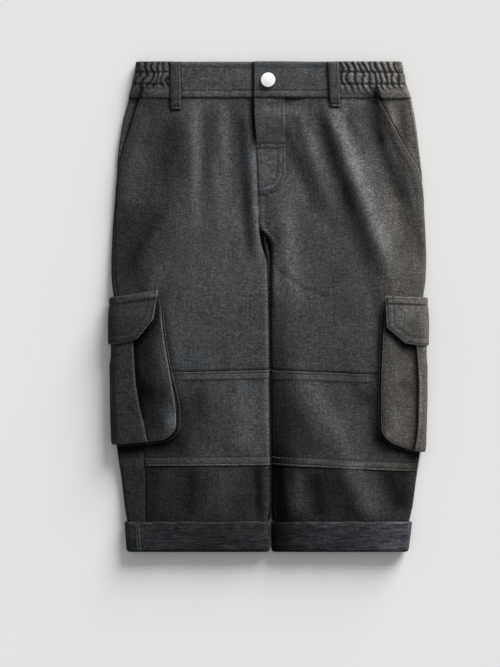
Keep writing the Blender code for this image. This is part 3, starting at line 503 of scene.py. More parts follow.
def fold_quarter():
    """Reaches round the outer edge's fold, from where it starts on the front to the edge itself."""
    return EDGE_REACH * (1 - np.cos(between((QUARTER_TURN, 0.0), (9,))))


def wrinkles(x, down, seed=0.0):
    """The laundered cloth's soft waviness, longer down the garment than across it."""
    strength = bpy.context.scene.trousers_cloth.wrinkle
    return strength * (
        0.34 * uneven(x / 15 + 3.1, down / 46, 1 + seed)
        + 0.22 * uneven(x / 7 + down / 60, down / 24, 2 + seed)
        + 0.07 * uneven(x / 3.4, down / 6.5, 3 + seed)
        + 0.035 * uneven(x / 1.9, down / 2.6, 4 + seed)
    )


def sewn(distance, along, seed, depth=0.32, pucker=0.16):
    """A row of stitches pulls the cloth down on its line and puckers it on both sides."""
    level = at_level(along)
    waves = uneven(along / 3.1, level, seed) * 0.6 + uneven(along / 7.3, level, seed + 5) * 0.4
    return -depth * bump(distance, 0.75) + pucker * waves * bump(distance, 4.5)


def moved_in(path, inset):
    """A smooth path moved in by a distance."""
    path = np.array(path)
    run, fall = (np.concatenate([path[1:], path[-1:]]) - np.concatenate([path[:1], path[:-1]])).T
    return path + inset * (np.stack([-fall, run]) / np.hypot(run, fall)).T


def to_path(x, y, path):
    """The distance from places to a path in the same plane, and how far along the path that is."""
    best = np.full(np.broadcast(x, y).shape, 1e9)
    along = np.zeros(best.shape)
    travelled = 0.0
    for (ax, ay), (bx, by) in zip(path, path[1:]):
        length = math.hypot(bx - ax, by - ay)
        share = np.clip(((x - ax) * (bx - ax) + (y - ay) * (by - ay)) / length**2, 0, 1)
        distance = np.hypot(x - ax - share * (bx - ax), y - ay - share * (by - ay))
        nearer = distance < best
        along = np.where(nearer, travelled + share * length, along)
        best = np.minimum(best, distance)
        travelled += length
    return best, along


# --- meshes ---------------------------------------------------------------------------------------------------------


def grid_faces(rows, columns, start=0, flip=False):
    first = start + np.arange(rows - 1)[:, None] * columns + np.arange(columns - 1)[None, :]
    corners = [first, first + 1, first + columns + 1, first + columns]
    return np.stack(corners[::-1] if flip else corners, axis=-1).reshape(-1, 4)


def shell(node, outer, inner, tone, held="laid", rests_on=(), inside=0.9):
    """A node's cloth: a closed piece between an outer and an inner grid of places."""
    height, width = outer.shape[:2]
    count = height * width
    index = np.arange(count).reshape(height, width)
    edge = np.concatenate([index[0, :-1], index[:-1, -1], index[-1, :0:-1], index[:0:-1, 0]])
    after = np.roll(edge, -1)
    rim = np.stack([after, edge, edge + count, after + count], axis=-1)
    faces = np.concatenate([grid_faces(height, width), grid_faces(height, width, count, flip=True), rim])
    places = np.concatenate([outer.reshape(-1, 3), inner.reshape(-1, 3)])
    # The inner face's tone is the outer's times inside: painted shade, darkest on the backs
    shade = np.concatenate([tone.ravel(), tone.ravel() * inside])
    piece = finished(node + "_cloth", places, faces, "canvas_cloth", shade, node)


def tube(node, places, tone):
    """A node's cuff: a closed ring of closed sections, so both directions of the grid join up."""
    height, width = places.shape[:2]
    index = np.arange(height * width).reshape(height, width)
    right, down = np.roll(index, -1, axis=1), np.roll(index, -1, axis=0)
    faces = np.stack([index, right, np.roll(right, -1, axis=0), down], axis=-1).reshape(-1, 4)
    places = places.reshape(-1, 3)
    return finished(node + "_cloth", places, faces, "wrong_side_cloth", tone.ravel(), node)


def placed(name, mesh, finish):
    """Puts a smooth mesh with one finish into the scene, on the frame's one body."""
    mesh.shade_smooth()
    mesh.materials.append(bpy.data.materials[finish])
    piece = bpy.data.objects.new(name, mesh)
    bpy.context.scene.collection.objects.link(piece)
    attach(piece, "root")
    return piece


def finished(name, places, faces, finish, tone, node):
    """Closes a mesh with its normals outwards, gives it its shade and cast, and lets it stand for its node."""
    mesh = bpy.data.meshes.new(name)
    mesh.from_pydata(places.tolist(), [], [list(dict.fromkeys(face)) for face in faces.tolist()])
    shape = bmesh.new()
    shape.from_mesh(mesh)
    bmesh.ops.recalc_face_normals(shape, faces=shape.faces)
    if shape.calc_volume(signed=True) < 0:
        bmesh.ops.reverse_faces(shape, faces=shape.faces)
    shape.to_mesh(mesh)
    shape.free()
    x, down = places[:, 0] / MM, LENGTH / 2 - places[:, 1] / MM
    bare_strip = ease((down - 388) / 8) * ease((outer_x(RIGHT, down) + side_seam(RIGHT, down) + 1 - x) / 2)
    cast = np.maximum(ease((x - 55) / 90), bare_strip)
    # The tone attribute carries mottling together with painted light and shade
    for label, values in (("tone", tone), ("cast", cast)):
        mesh.attributes.new(label, "FLOAT", "POINT").data.foreach_set("value", np.asarray(values, float))
    piece = placed(name, mesh, finish)
    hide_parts(node)
    return piece


# --- painted light and shade, and mottling --------------------------------------------------------------------------


def side_seam(side, down):
    return read(SIDE_SEAM, WORD[side], down)


def front_edge(side, down):
    return np.maximum(read(POCKET_MOUTH, WORD[side], down), side_seam(side, down))


def mottle_and_painted_light(side, x, down):
    """How light the cloth is: soft clouds and streaks, with painted light and shade across, down and along lines."""
    clouds = 0.06 * uneven(x / 34, down / 52, 11) + 0.05 * uneven(x / 11, down / 24, 12)
    streaks = 0.04 * uneven(x / 4.5, down / 30, 13)
    painted_lines = np.clip(1 + fold_height(PAINTED_LIGHT_LINES, side, x, down), FAINTEST, STRONGEST)
    return (1 + clouds + streaks) * painted_lines * read(PAINTED_LIGHT_ACROSS, "shade", x) * read(PAINTED_SHADE_DOWN, "shade", down)


def dusk(x, down):
    """How much of its light the left leg's inner side keeps."""
    inward = x - inner_x(LEFT, down)
    lit = ease((inward - read(DUSK, "black", down)) / read(DUSK, "wide", down))
    return 1 - read(DUSK, "dark", down) * (1 - lit ** 0.8)


def pocket_gloom(side, reach, down):
    """How much of its light the leg keeps beside and under the cargo pocket."""
    away, _ = to_path(reach, down, pocket_edge_path(side, reach_to=-10.0)[::3])
    foot = pocket_foot(side, pocket_column(side, "edge") - reach)
    outside = np.maximum(ease(reach - read(CARGO[side], "edge", down)), ease(down - foot))
    below = ease((down - 366) / 14)
    if side == RIGHT:
        wide = mix(3.6, 6.2, below) + 4.5 * ease((down - 300) / 40)
    else:
        wide = mix(5.0, 6.2, below) + 3.0 * ease((down - 345) / 20)
    deep = mix(0.50, 0.93, below) * ease((down - POCKET_TOP - 4) / 12)
    return 1 - deep * outside * bump(np.maximum(away - 1.5, 0), wide)


def loop_gloom(x, down):
    """How much of its light the cloth keeps on the far side of a belt loop and under its foot."""
    kept = np.ones(np.broadcast(x, down).shape)
    for loop in BELT_LOOPS.values():
        middle = mix(loop.x, loop.foot_x, (down - loop.top) / (loop.foot - loop.top))
        beyond = np.maximum(middle - loop.width / 2 - x, 0) + np.maximum(down - loop.foot, 0)
        near = (x < middle + loop.width / 2 + 0.6) & (down < loop.foot + 4)
        kept = kept * (1 - 0.7 * near * bump(beyond, 2.2))
        kept = kept * (1 - 0.35 * (down < loop.foot + 1) * bump(x - middle - loop.width / 2 - 0.6, 0.8))
    return kept


# --- leg panels -----------------------------------------------------------------------------------------------------


class Panel:
    """One front panel of a leg: its grid of turns, its relief, and its tone with painted light and shade."""

    def __init__(self, side, downs, upper, lower):
        self.side, self.upper, self.lower = side, upper, lower
        self.start, self.end = downs[0], downs[-1]
        self.rows = downs[:, None]
        self.from_top, self.to_foot = self.rows - self.start, self.end - self.rows
        start = shifted(side, downs, np.zeros_like(downs), GAP / 2)
        end = np.ones_like(downs)
        for _ in range(3):
            place = self.warp(downs, end)
            edge = front_edge(side, place)
            end = shifted(side, place, turn_at_reach(side, place, edge), -GAP / 2)
        rim = turn_at_reach(side, place, edge + 12.0)
        self.turns = between((start, np.full_like(downs, FOLD_SHARE), rim, end), (8, 74, 24))
        self.place = self.warp(self.rows, self.turns)
        self.x, _ = ring(side, self.place, self.turns)
        self.reach = np.abs(outer_x(side, self.place) - self.x)
        self.dress()

    def warp(self, down, turn):
        share = (down - self.start) / (self.end - self.start)
        return down + mix(self.upper.drop, self.lower.drop, share) * turn

    def dress(self):
        """Creases, mottling and painted light and shade that all the panels share."""
        side, x, place = self.side, self.x, self.place
        self.relief = leg_relief(side, x, place)
        # Painted light and shade: lighter on the folds' ridges and darker in their troughs
        painted_light_and_wear = np.clip(1 + 0.03 * large_folds(side, x, place) + 0.08 * self.relief, 0.6, 1.5)
        self.tone = mottle_and_painted_light(side, x, place) * painted_light_and_wear * pocket_gloom(side, self.reach, place)
        if side == LEFT:
            inward = x - inner_x(side, place)
            self.relief -= 2.0 * (1 - ease(inward / 16)) * ease(inward / 3) * ease((place - 225) / 30)
            self.tone *= dusk(x, place)


def needle_gauge():
    return bpy.context.scene.trousers_sewing.gauge / MM


def sewn_edge(distance, along, seed, roll=0.55):
    """A panel's edge rolls down into its seam."""
    return -roll * bump(distance, 1.1) + 0.12 * uneven(along / 4.3, at_level(along), seed) * bump(distance, 6)


def leg_relief(side, x, place):
    """Creases and waviness that all of a leg's front cloth shares."""
    calm = calm_at(side, x, place)
    small = fold_height(CREASES, side, x, place) * bpy.context.scene.trousers_cloth.crease
    return (small + wrinkles(x, place)) * (0.15 + 0.85 * calm)


def dress_front(panel):
    """The front panel's rolled foot, its gathers under the waistband, its pocket mouth and its centre seam."""
    side, x, place = panel.side, panel.x, panel.place
    # Painted shadow under the belt loops and the waistband's lower edge
    panel.tone *= loop_gloom(x, place) * (1 - 0.45 * bump(panel.from_top, 1.3))
    gathers = ease((70 - place) / 34) * (0.3 + ease((np.abs(x - 10) - 60) / 30))
    relief = sewn_edge(panel.to_foot, x, 21) - 0.3 * bump(panel.to_foot, 1.6)
    relief = relief + 0.5 * uneven(x / 5.2, place / 60, 23) * gathers
    mouth_in = panel.reach - front_edge(side, place)
    mouth = ease((150 - place) / 8)
    gauge = needle_gauge()
    # Painted shade in the stitch grooves, a painted highlight on the mouth's edge, stronger on the wearer's left
    for k, row in enumerate((MOUTH_ROW, MOUTH_ROW + gauge)):
        relief += mouth * sewn(mouth_in - row, place, 24 + k)
        panel.tone *= 1 - 0.35 * mouth * bump(mouth_in - row, 0.6)
    relief += mouth * 0.5 * (ease((gauge + 3.2 - mouth_in) / 1.4) - bump(mouth_in, 0.7))
    panel.tone *= 1 + (0.75 if side == LEFT else 0.15) * mouth * bump(mouth_in - 0.5, 0.8)
    # Painted shade a little way in from the mouth
    panel.tone *= 1 - 0.12 * mouth * bump(mouth_in - 5.5, 4.5) * ease((130 - place) / 40)
    if side == LEFT:
        line = x - inner_x(side, place)
        below = ease((182 - place) / 8)
        # Painted light and shade along the centre seam: a painted highlight on its raised edge between painted dark
        # lines
        seam_light_and_shade = 0.35 * bump(line - 3.8, 2.0) - 0.45 * bump(line - 7.2, 0.8) - 0.5 * bump(line, 1.2)
        panel.tone *= 1 + ease((place - 130) / 4) * below * seam_light_and_shade
        raised = sewn(line - CENTRE_ROW, place, 26) + 0.45 * ease((5.5 - line) / 1.5)
        relief += ease((place - 128) / 6) * below * raised
    panel.relief += relief


def dress_knee(panel):
    """The twin-stitched bands along the knee panel's two seams."""
    side, x, place, gauge = panel.side, panel.x, panel.place, needle_gauge()
    strip = np.minimum(panel.from_top, panel.to_foot)
    past_edge = np.where(place < 380, panel.reach - read(CARGO[side], "edge", place) - 9, panel.reach - 4)
    band = ease((SEAM_BAND + 0.7 - strip) / 1.2) * ease(past_edge / 6)
    panel.relief = panel.relief * (1 - 0.5 * band) + SEAM_RISE * band + 0.3 * bump(strip - 0.5, 0.7)
    panel.relief += sewn(strip - SEAM_ROW, x, 31, 0.25) + sewn(strip - SEAM_ROW - gauge, x, 32)
    # Painted light and shade: the raised band painted lighter, partly lifted out of the painted shade down the leg,
    lift = 1.0 / read(PAINTED_SHADE_DOWN, "shade", place)
    panel.tone *= mix(1.0, 1.12 * mix(1.0, lift, 0.6), band)
    # a painted highlight on its edge, and painted shade in the stitch grooves beside painted highlights
    panel.tone *= 1 + 0.60 * bump(strip - 0.4, 0.6) - 0.45 * bump(strip - 1.9, 0.55)
    panel.tone *= 1 - 0.52 * bump(strip - SEAM_ROW - gauge, 0.55) + 0.22 * bump(strip - 0.3 - gauge, 0.6)


def dress_shin(panel):
    """The shin panel's edge, rolled into its seam, with a painted shadow from the band above it."""
    panel.relief += sewn_edge(panel.from_top, panel.x, 35)
    panel.tone *= 1 - 0.3 * bump(panel.from_top, 1.2)


def make_leg_front(side):
    knee, shin, half = KNEE_SEAM[side], SHIN_SEAM[side], GAP / 2
    for name, stops, counts, upper, lower, dress in (
        ("front", (WAISTBAND_DEPTH + half, 60.0, knee.inner - 12, knee.inner - half), (14, 100, 12),
         LEVEL_SEAM, knee, dress_front),
        ("knee", (knee.inner + half, knee.inner + 10, shin.inner - 10, shin.inner - half), (22, 44, 22),
         knee, shin, dress_knee),
        ("shin", (shin.inner + half, shin.inner + 10, CUFF_TOP + 2, HEM), (18, 36, 4),
         shin, LEVEL_SEAM, dress_shin),
    ):
        panel = Panel(side, between(stops, counts), upper, lower)
        dress(panel)
        place = panel.place
        side_edge = panel.reach - front_edge(side, place)
        relief = panel.relief - 0.5 * bump(side_edge, 1.0) * ease((place - 140) / 12)
        outer, inner = (moved_out(side, place, panel.turns, out) for out in (relief, relief - CLOTH))
        shell(f"{name}_{WORD[side]}", outer, inner, panel.tone, rests_on=["back_" + WORD[side]])


def make_back(side):
    downs = between((WAISTBAND_DEPTH + GAP / 2, 160.0, 196.0, CUFF_TOP, HEM), (50, 24, 120, 6))
    level = 0 * downs
    start = shifted(side, downs, turn_at_reach(side, downs, side_seam(side, downs)), GAP / 2)
    end = shifted(side, downs, level + 2.0, -GAP / 2)
    near, rest = (turn_at_reach(side, downs, level - POCKET_UNDER - beyond) for beyond in (6, 22))
    under = (level + 1 + FOLD_SHARE, near, rest, level + 2 - FOLD_SHARE, end)
    if side == RIGHT:
        fold = np.maximum(start + 0.002, 1 - FOLD_SHARE)
        turns = between((start, fold, level + 1.0, *under), (12, 8, 8, 5, 6, 14, 8))
    else:
        turns = between((start, *under), (8, 5, 6, 14, 8))
    place = downs[:, None] + 0 * turns
    x, _ = ring(side, place, turns)
    on_front = ease((1.02 - turns) / 0.04)
    reach = np.abs(outer_x(side, place) - x)
    relief = on_front * (0.7 * wrinkles(x, place, 40) - 0.5 * bump(reach - side_seam(side, place), 1.0))
    tone = mottle_and_painted_light(side, x, place) * (1 + 1.1 * on_front * ease((place - 388) / 14))
    tone = tone * mix(1.0, pocket_gloom(side, reach, place), on_front)
    outer, inner = (moved_out(side, place, turns, out) for out in (relief, relief - CLOTH))
    # The back's inner face is painted dark: painted shade where it shows between the legs
    shell("back_" + WORD[side], outer, inner, tone, inside=0.2)


def make_hip_facing(side):
    downs = between((WAISTBAND_DEPTH + GAP / 2, FACING_FOOT), (60,))
    end = shifted(side, downs, turn_at_reach(side, downs, side_seam(side, downs)), -GAP / 2)
    edge = front_edge(side, downs)
    tucked, out_from = (turn_at_reach(side, downs, edge + beyond) for beyond in (FACING_UNDERLAP, -0.7))
    turns = between((tucked, out_from, end), (6, 26))
    place = downs[:, None] + 0 * turns
    x, _ = ring(side, place, turns)
    clear = ease(2.0 * (turns - out_from[:, None]) / (end - out_from)[:, None])
    relief = -(CLOTH + CLEAR) * (1 - clear) + wrinkles(x, place, 50) * clear * 0.8
    hidden = np.abs(outer_x(side, place) - x) - front_edge(side, place)
    brighter, high_for = (1.5, 60) if side == RIGHT else (1.15, 30)
    high = 1 - ease((place - 46) / high_for)
    shadow = bump(np.minimum(hidden + mix(0.3, 1.6, high), 0), mix(0.7, 1.4, high))
    tone = mottle_and_painted_light(side, x, place) * brighter * (1 - 0.9 * shadow)
    outer, inner = (moved_out(side, place, turns, out) for out in (relief, relief - CLOTH))
    shell("hip_facing_" + WORD[side], outer, inner, tone)


# --- waistband ------------------------------------------------------------------------------------------------------


def band_out(x, lapped=True):
    """How far the waistband stands off the front. Its left end laps over its right."""
    return BAND_RISE + lapped * LAP * (1 - ease((x - UNDERLAP_EDGE - 2) / LAP_EASE))


def own_top(x, down):
    """The front's height on whichever side of the centre seam a place is."""
    return np.where(x < inner_x(RIGHT, down), top_height(RIGHT, x, down), top_height(LEFT, x, down))


def make_waistband():
    downs = between((0.0, WAISTBAND_DEPTH - GAP / 2), (64,))[:, None]
    for node, start, end, lapped in (
        ("waistband_right", ELASTIC_END[RIGHT] + GAP / 2, UNDERLAP_EDGE, False),
        ("waistband_left", LAP_EDGE, ELASTIC_END[LEFT] - GAP / 2, True),
    ):
        xs = between((start, start + 3, end - 3, end), (8, 84, 8))[None, :]
        place, x = np.broadcast_arrays(downs, xs)
        rim = np.minimum(place, WAISTBAND_DEPTH - place)
        upper, lower = (place - row for row in BAND_ROWS)
        relief = 0.25 * uneven(x / 19, place / 9, 61) + 0.12 * uneven(x / 6, place / 5, 62) - 0.9 * bump(rim, 1.1)
        relief += sewn(upper, x, 63, 0.22, 0.1) + sewn(lower, x, 64, 0.3, 0.12)
        relief += 0.35 * ease((place - 29) / 1.6) * ease((36.5 - place) / 1.5)
        # Painted light and shade: painted shade in the stitch grooves and along the foot, painted highlights on
        # raised edges
        tone = 1.12 * mottle_and_painted_light(LEFT, x, place) * (1 - 0.55 * bump(lower + 0.2, 0.7) - 0.25 * bump(upper, 0.6))
        tone *= 1 + 0.22 * bump(lower - 1.6, 1.4) + 0.2 * bump(place - 0.6, 0.9) + 0.10 * bump(upper - 1.4, 0.8)
        tone *= (1 - 0.55 * bump(place - WAISTBAND_DEPTH, 0.9)) * loop_gloom(x, place)
        in_lap = x - LAP_EDGE
        if lapped:
            relief += -0.7 * bump(in_lap, 0.8) + 0.5 * bump(in_lap, 5) * ease(place / 20)
            relief += sewn(in_lap - LAP_ROW, place, 65, 0.2, 0.08)
            # Painted highlight on the lap's raised edge
            tone *= 1 + 0.35 * bump(in_lap - 0.7, 0.8)
        else:
            # Painted shadow beside and under the left end's lap
            tone *= 1 - 0.7 * bump(np.minimum(in_lap + 1.0, 0), 2.0)
        top = own_top(x, place) + band_out(x, lapped)
        shell(node, at(x, place, top + relief), at(x, place, top - BAND_WALL), tone)


def to_channel(down):
    """The distance to the nearer of the elastic's rows of stitches."""
    return np.minimum(*(np.abs(down - row) for row in CHANNELS))


def gather(side, share, down):
    """The elastic's ripple: narrow ridges that lean, close up and part, and flatten out below the last row. With it
    comes how far the cloth is drawn up there."""
    along = GATHERS[side] * share
    swing = 0.3 + 0.35 * bump(down - 18, 6)
    waves = along - read(DRIFT, WORD[side], down) + swing * uneven(along * 0.6, down / 6.5, 70 + side)
    waves = waves + 0.3 * uneven(along * 0.3, at_level(along), 72 + side)
    ridge = np.sin(math.pi * (waves - np.floor(waves)) ** 0.8) ** 0.85
    height = 0.85 + 0.3 * uneven(np.floor(waves) * 1.7, down / 12, 75)
    foot = mix(GATHER_FOOT[side], GATHER_FOOT[RIGHT], ease((share - 0.4) / 0.2))
    drawn = 1 - ease((down - CHANNELS[-1] - 1) / (foot - CHANNELS[-1] + 2))
    flat = 0.5 * ease((WAISTBAND_DEPTH - down) / 7)
    return mix(flat, ridge * height, drawn) * (1 - 0.35 * bump(to_channel(down), 1.4)), drawn


def make_elastic():
    downs = between((0.0, WAISTBAND_DEPTH - GAP / 2), (74,))
    halves = []
    for side in SIDES:
        start = turn_at_x(side, downs, ELASTIC_END[side] + side * GAP / 2)
        ends = (turn + 0 * downs for turn in (1 - FOLD_SHARE, 1 + FOLD_SHARE, 2.0))
        turns = between((start, *ends), (120, 22, 40))
        place = downs[:, None] + 0 * turns
        share = np.clip((turns - start[:, None]) / (1 - start)[:, None], 0, 1)
        front = ease((1.03 - turns) / 0.1)
        wave, drawn = gather(side, share, place)
        wave = wave * ease(share * 9) * front
        row = to_channel(place)
        rim = np.minimum(place, WAISTBAND_DEPTH - place)
        base = BAND_RISE * ease((1 + FOLD_SHARE - turns) / FOLD_SHARE)
        relief = base + GATHER_HEIGHT[side] * wave - front * (0.3 * bump(row, 1.2) + 0.5 * bump(rim, 1.0))
        x, _ = ring(side, place, turns)
        # Painted light and shade: ridges painted light and valleys dark, darker on the stitch rows and along the
        # foot;
        if side == RIGHT:
            # the ungathered cloth is painted lit
            brighter, lit = 1.55, 1.9 - 0.5 * ease((place - 28) / 8)
        else:
            brighter, lit = 1.85, mix(1.25, 2.0, ease((x - 108) / 10))
        gathered = (0.14 + 1.35 * wave**1.3) * (1 - 0.3 * bump(row, 0.8)) * brighter
        shade = mix(lit, gathered, drawn) * (1 - 0.5 * front * bump(place - WAISTBAND_DEPTH, 0.9))
        tone = mottle_and_painted_light(side, x, place) * mix(1.0, shade, front)
        outer, inner = (moved_out(side, place, turns, out) for out in (relief, base - ELASTIC_WALL))
        onward = slice(None) if side == RIGHT else slice(-2, None, -1)
        halves.append([grid[:, onward] for grid in (outer, inner, tone)])
    outer, inner, tone = (np.concatenate(parts, axis=1) for parts in zip(*halves))
    shell("waistband_elastic", outer, inner, tone, "gathered")


def loop_height(loop, x, down):
    on_band = BAND_RISE * (1 - ease((down - WAISTBAND_DEPTH + 0.5) / 3))
    share = (down - loop.top) / (loop.foot - loop.top)
    bow = LOOP_BOW * np.sin(math.pi * np.clip(share / 0.92, 0, 1))
    return top_height(loop.side, x, down) + on_band + CLEAR + 0.25 + LOOP_WALL + bow


def make_belt_loops():
    for node, loop in BELT_LOOPS.items():
        down = between((loop.top, loop.foot), (76,))[:, None]
        across = between((-0.5, 0.5), (22,))[None, :]
        x = mix(loop.x, loop.foot_x, (down - loop.top) / (loop.foot - loop.top)) + across * loop.width
        down = down + 0 * x
        in_from, to_foot = (0.5 - np.abs(across)) * loop.width, loop.foot - down
        ends = np.minimum(down - loop.top, to_foot)
        relief = -0.8 * bump(in_from, 0.8) - 0.6 * bump(ends, 0.8) + 0.12 * uneven(x / 3, down / 7, 81)
        relief = relief + sewn(in_from - LOOP_ROW, down, 82, 0.25, 0.08) - 0.7 * bump(to_foot - LOOP_BAR, 1.6)
        # Painted light and shade: painted shade in the stitch groove, a painted highlight on the edge towards the
        # wearer's left,
        tone = (1.02 + 0.05 * uneven(x / 4, down / 8, 83)) * (1 - 0.3 * bump(in_from - LOOP_ROW, 0.5))
        # painted shade on the other edge, a painted highlight and shadow at the foot, and the right loop painted
        # darker
        lit, unlit = 0.5 * bump(in_from - 0.4, 0.7) * (across > 0), 0.3 * bump(in_from, 1.2) * (across < 0)
        tone = tone * (1 + lit - unlit)
        tone = tone * (1 + 0.5 * bump(to_foot - 1.0, 0.7) - 0.5 * bump(to_foot - LOOP_BAR, 0.8))
        tone = tone * (0.78 if loop.side == RIGHT else 1.05)
        top = loop_height(loop, x, down)
        shell(node, at(x, down, top + relief), at(x, down, top - LOOP_WALL), tone)


# --- fly ------------------------------------------------------------------------------------------------------------


def placket_height(x, down, share):
    lift = PLACKET_LIFT * (1 - ease((down - 70) / 18))
    free = lift * (1 - 0.85 * ease(share * 1.3 - 0.2))
    return own_top(x, down) + CLEAR + CLOTH + free


def make_fly():
    last = PLACKET[-1]
    down = between((PLACKET[0].down, 129.0, last.down), (110, 10))[:, None]
    share = between((0.0, 1.0), (48,))[None, :]
    front = read(PLACKET, "front", down)
    x = mix(front, read(PLACKET, "back", down), share)
    down = down + 0 * x
    path = [(row.back, row.down) for row in PLACKET] + [(last.front, last.down)]
    edge, along = to_path(x, down, path)
    free_edge, bar = x - front, down - BAR_ROWS[0]
    low = 0.35 + 0.65 * ease((down - 80) / 6)
    relief = -0.9 * bump(edge, 1.4) - 0.5 * bump(free_edge, 0.8) + 0.5 * wrinkles(x, down, 90)
    relief += -0.6 * bump(bar, 0.9) - 0.3 * bump(bar - 4.3, 0.7) + 0.25 * ease(bar) * ease(4.3 - bar)
    relief += 0.25 * uneven(x / 9, down / 12, 93)
    tone = mottle_and_painted_light(LEFT, x, down) * (1.08 + 0.1 * ease((down - 84) / 4))
    # Painted light and shade: painted shade in the bar's grooves between painted highlights, a painted highlight on
    # the
    tone *= 1 - 0.6 * bump(bar, 0.9) - 0.5 * bump(bar - 4.3, 0.7) + 0.2 * bump(bar - 2.2, 1.0)
    # free edge, and painted shade in the stitch grooves beside painted highlights
    tone *= 1 + 0.25 * bump(free_edge - 0.8, 0.8)
    for inset in PLACKET_ROWS:
        relief += low * sewn(edge - inset, along, 91 + inset, 0.3, 0.1)
        tone *= 1 + low * (0.18 * bump(edge - inset - 1.4, 0.7) - 0.45 * bump(edge - inset, 0.6))
    top = placket_height(x, down, share)
    under = top - CLOTH + 0.5 * np.minimum(relief, 0)
    shell("fly_placket", at(x, down, top + relief), at(x, down, under), tone)


# --- cuffs ----------------------------------------------------------------------------------------------------------


# The turned-up hem's section: down from the cuff's top, and out from the leg
Lip = namedtuple("Lip", "down out")
LIPS = rows_of(Lip,
    (0.6, 0.0), (0.0, 0.7), (-0.1, 1.5), (0.3, 2.2), (1.2, 2.6), (3.0, CUFF_WALL),
    (7.0, CUFF_WALL), (11.0, CUFF_WALL), (15.0, CUFF_WALL), (19.0, CUFF_WALL), (23.0, CUFF_WALL),
    (26.0, 2.65), (27.8, 2.45), (29.0, 2.0), (29.8, 1.3), (30.0, 0.7), (29.4, 0.0))


def make_cuff(side):
    """The turned-up hem: a flattened ring of folded cloth round the foot of the leg."""
    stops = (0.0, FOLD_SHARE, 1 - FOLD_SHARE, 1.0, 1 + FOLD_SHARE, 2 - FOLD_SHARE, 2.0)
    turns = between(stops, (9, 110, 9, 9, 60, 9))[:-1]
    down, out = (between(column, [2] * (len(LIPS) - 1))[None, :] for column in zip(*LIPS))
    turn = turns[:, None] + 0 * down
    place = np.minimum(CUFF_TOP + down, HEM) + 0 * turn
    x, _ = ring(side, place, turn)
    front = ease((1.05 - turn) / 0.1) * ease(turn / 0.05)
    relief = 0.35 * uneven(x / 17, down / 14, 101 + side) + 0.16 * uneven(x / 5.5, down / 8, 102)
    relief += 0.35 * uneven(x / 23 + down / 40, down / 5.5, 103)
    tone = 1 + 0.10 * uneven(x / 16, down / 12, 105) + 0.10 * uneven(x / 4, down / 7, 106)
    # The right cuff is darker about x = -60. The left cuff has painted shade at its inner end and is painted lighter
    if side == RIGHT:
        # towards its outer end, which faces the key light
        relief += 0.5 * bump(x - outer_x(side, place) - 8.6, 2.4)
        tone = tone * (0.95 - 0.2 * bump(x + 60, 24))
    else:
        tone = tone * 1.22 * dusk(x, place) * (1 + 0.9 * ease((x - 86) / 44))
    relief = front * (out > 1.0) * relief
    wave = front * 0.8 * uneven(x / 14, at_level(x), 104 + side)
    # Painted highlight along the cuff's top fold and painted shade along its foot
    tone = tone * 0.90 * (1 + 0.18 * front * bump(down - 0.4, 1.1)) * (1 - 0.25 * front * ease((down - 26) / 3))
    places = moved_out(side, place, turn, CLEAR + out + relief)
    places[..., 1] -= (CUFF_TOP + down - place + wave * (out < 2.7) * (down < 5)) * MM
    piece = tube("cuff_" + WORD[side], places, tone)


# --- cargo pockets --------------------------------------------------------------------------------------------------


def pocket_foot(side, inset):
    corner = POCKET_FOOT[side]
    line = corner.down + corner.slope * np.minimum(inset, 26) + corner.far_slope * np.maximum(inset - 26, 0)
    bend = np.clip(1 - inset / corner.wide, 0, 1)
    return line - corner.high * (1 - np.sqrt(1 - bend**2))


def pocket_out(side, down, reach):
    """How far the cargo pocket's face stands off the leg: down into its pleat, up on its box."""
    depth = mix(MOUTH_DEPTH, POCKET_DEPTH, ease((down - POCKET_TOP - 2) / 30))
    edge, pleat = read(CARGO[side], "edge", down), read(CARGO[side], "pleat", down)
    depth = depth * (1 - EDGE_DROP * ease(1 - (edge - reach) / 8))
    lower = ease((down - POCKET_TOP - 6) / 14)
    sink = -PLEAT_SINK * ease((edge - 6 - reach) / np.maximum(edge - 6 - pleat, 1)) * (reach > pleat)
    box = PLEAT_RISE * (reach <= pleat)
    low = POCKET_LIFT - (FLAP_WALL + CLEAR) * (1 - ease((down - FLAP[side][-1].foot_down - 10) / 12))
    return mix(depth + (box + sink) * lower, low, ease(0.5 - reach / (2 * EDGE_REACH)))


def pocket_column(side, column):
    """The pocket's edge or pleat where it meets the foot, as a reach."""
    return float(read(CARGO[side], column, POCKET_END))


def pocket_grid(side):
    """Reaches and distances down over the pocket: front edge to pleat, pleat to fold, and on underneath."""
    foot_edge, foot_pleat = (pocket_column(side, column) for column in ("edge", "pleat"))
    share = between((0.0, 0.88, 1.0), (70, 26))[:, None]
    to_pleat = between((0.0, 0.12, 1.0), (12, 44))[None, :]
    down = mix(POCKET_TOP, pocket_foot(side, to_pleat * (foot_edge - foot_pleat)), share)
    edge, pleat = read(CARGO[side], "edge", down), read(CARGO[side], "pleat", down)
    reach = edge - to_pleat * (edge - pleat - 0.05)
    quarter = fold_quarter()
    box_share = between((0.0, 0.02, 1.0), (3, 24 if side == RIGHT else 5))[None, :]
    box = mix(read(CARGO[side], "pleat", mix(POCKET_TOP, 383.0, share)), EDGE_REACH, box_share)
    turned = np.concatenate([quarter[1:], -quarter[::-1][1:], -between((EDGE_REACH + 4, POCKET_UNDER), (12,))])
    past_pleat = np.concatenate([box, turned[None, :] + 0 * share], axis=1)
    foot = pocket_foot(side, foot_edge - np.maximum(np.minimum(past_pleat, foot_pleat), -8.0))
    past_down = mix(POCKET_TOP, foot, share)
    return np.concatenate([reach, past_pleat], axis=1), np.concatenate([down, past_down], axis=1)


def pocket_edge_path(side, inset=0.0, reach_to=0.0):
    """The pocket's front edge, corner and foot as (reach, down), moved in by a distance."""
    foot_edge = pocket_column(side, "edge")
    points = [(float(read(CARGO[side], "edge", down)), down) for down in np.linspace(POCKET_TOP, 352, 30)]
    foot = [(foot_edge - s, float(pocket_foot(side, s))) for s in np.linspace(0.0, foot_edge - reach_to, 60)]
    return moved_in(points + [p for p in foot if p[1] > 353], inset)


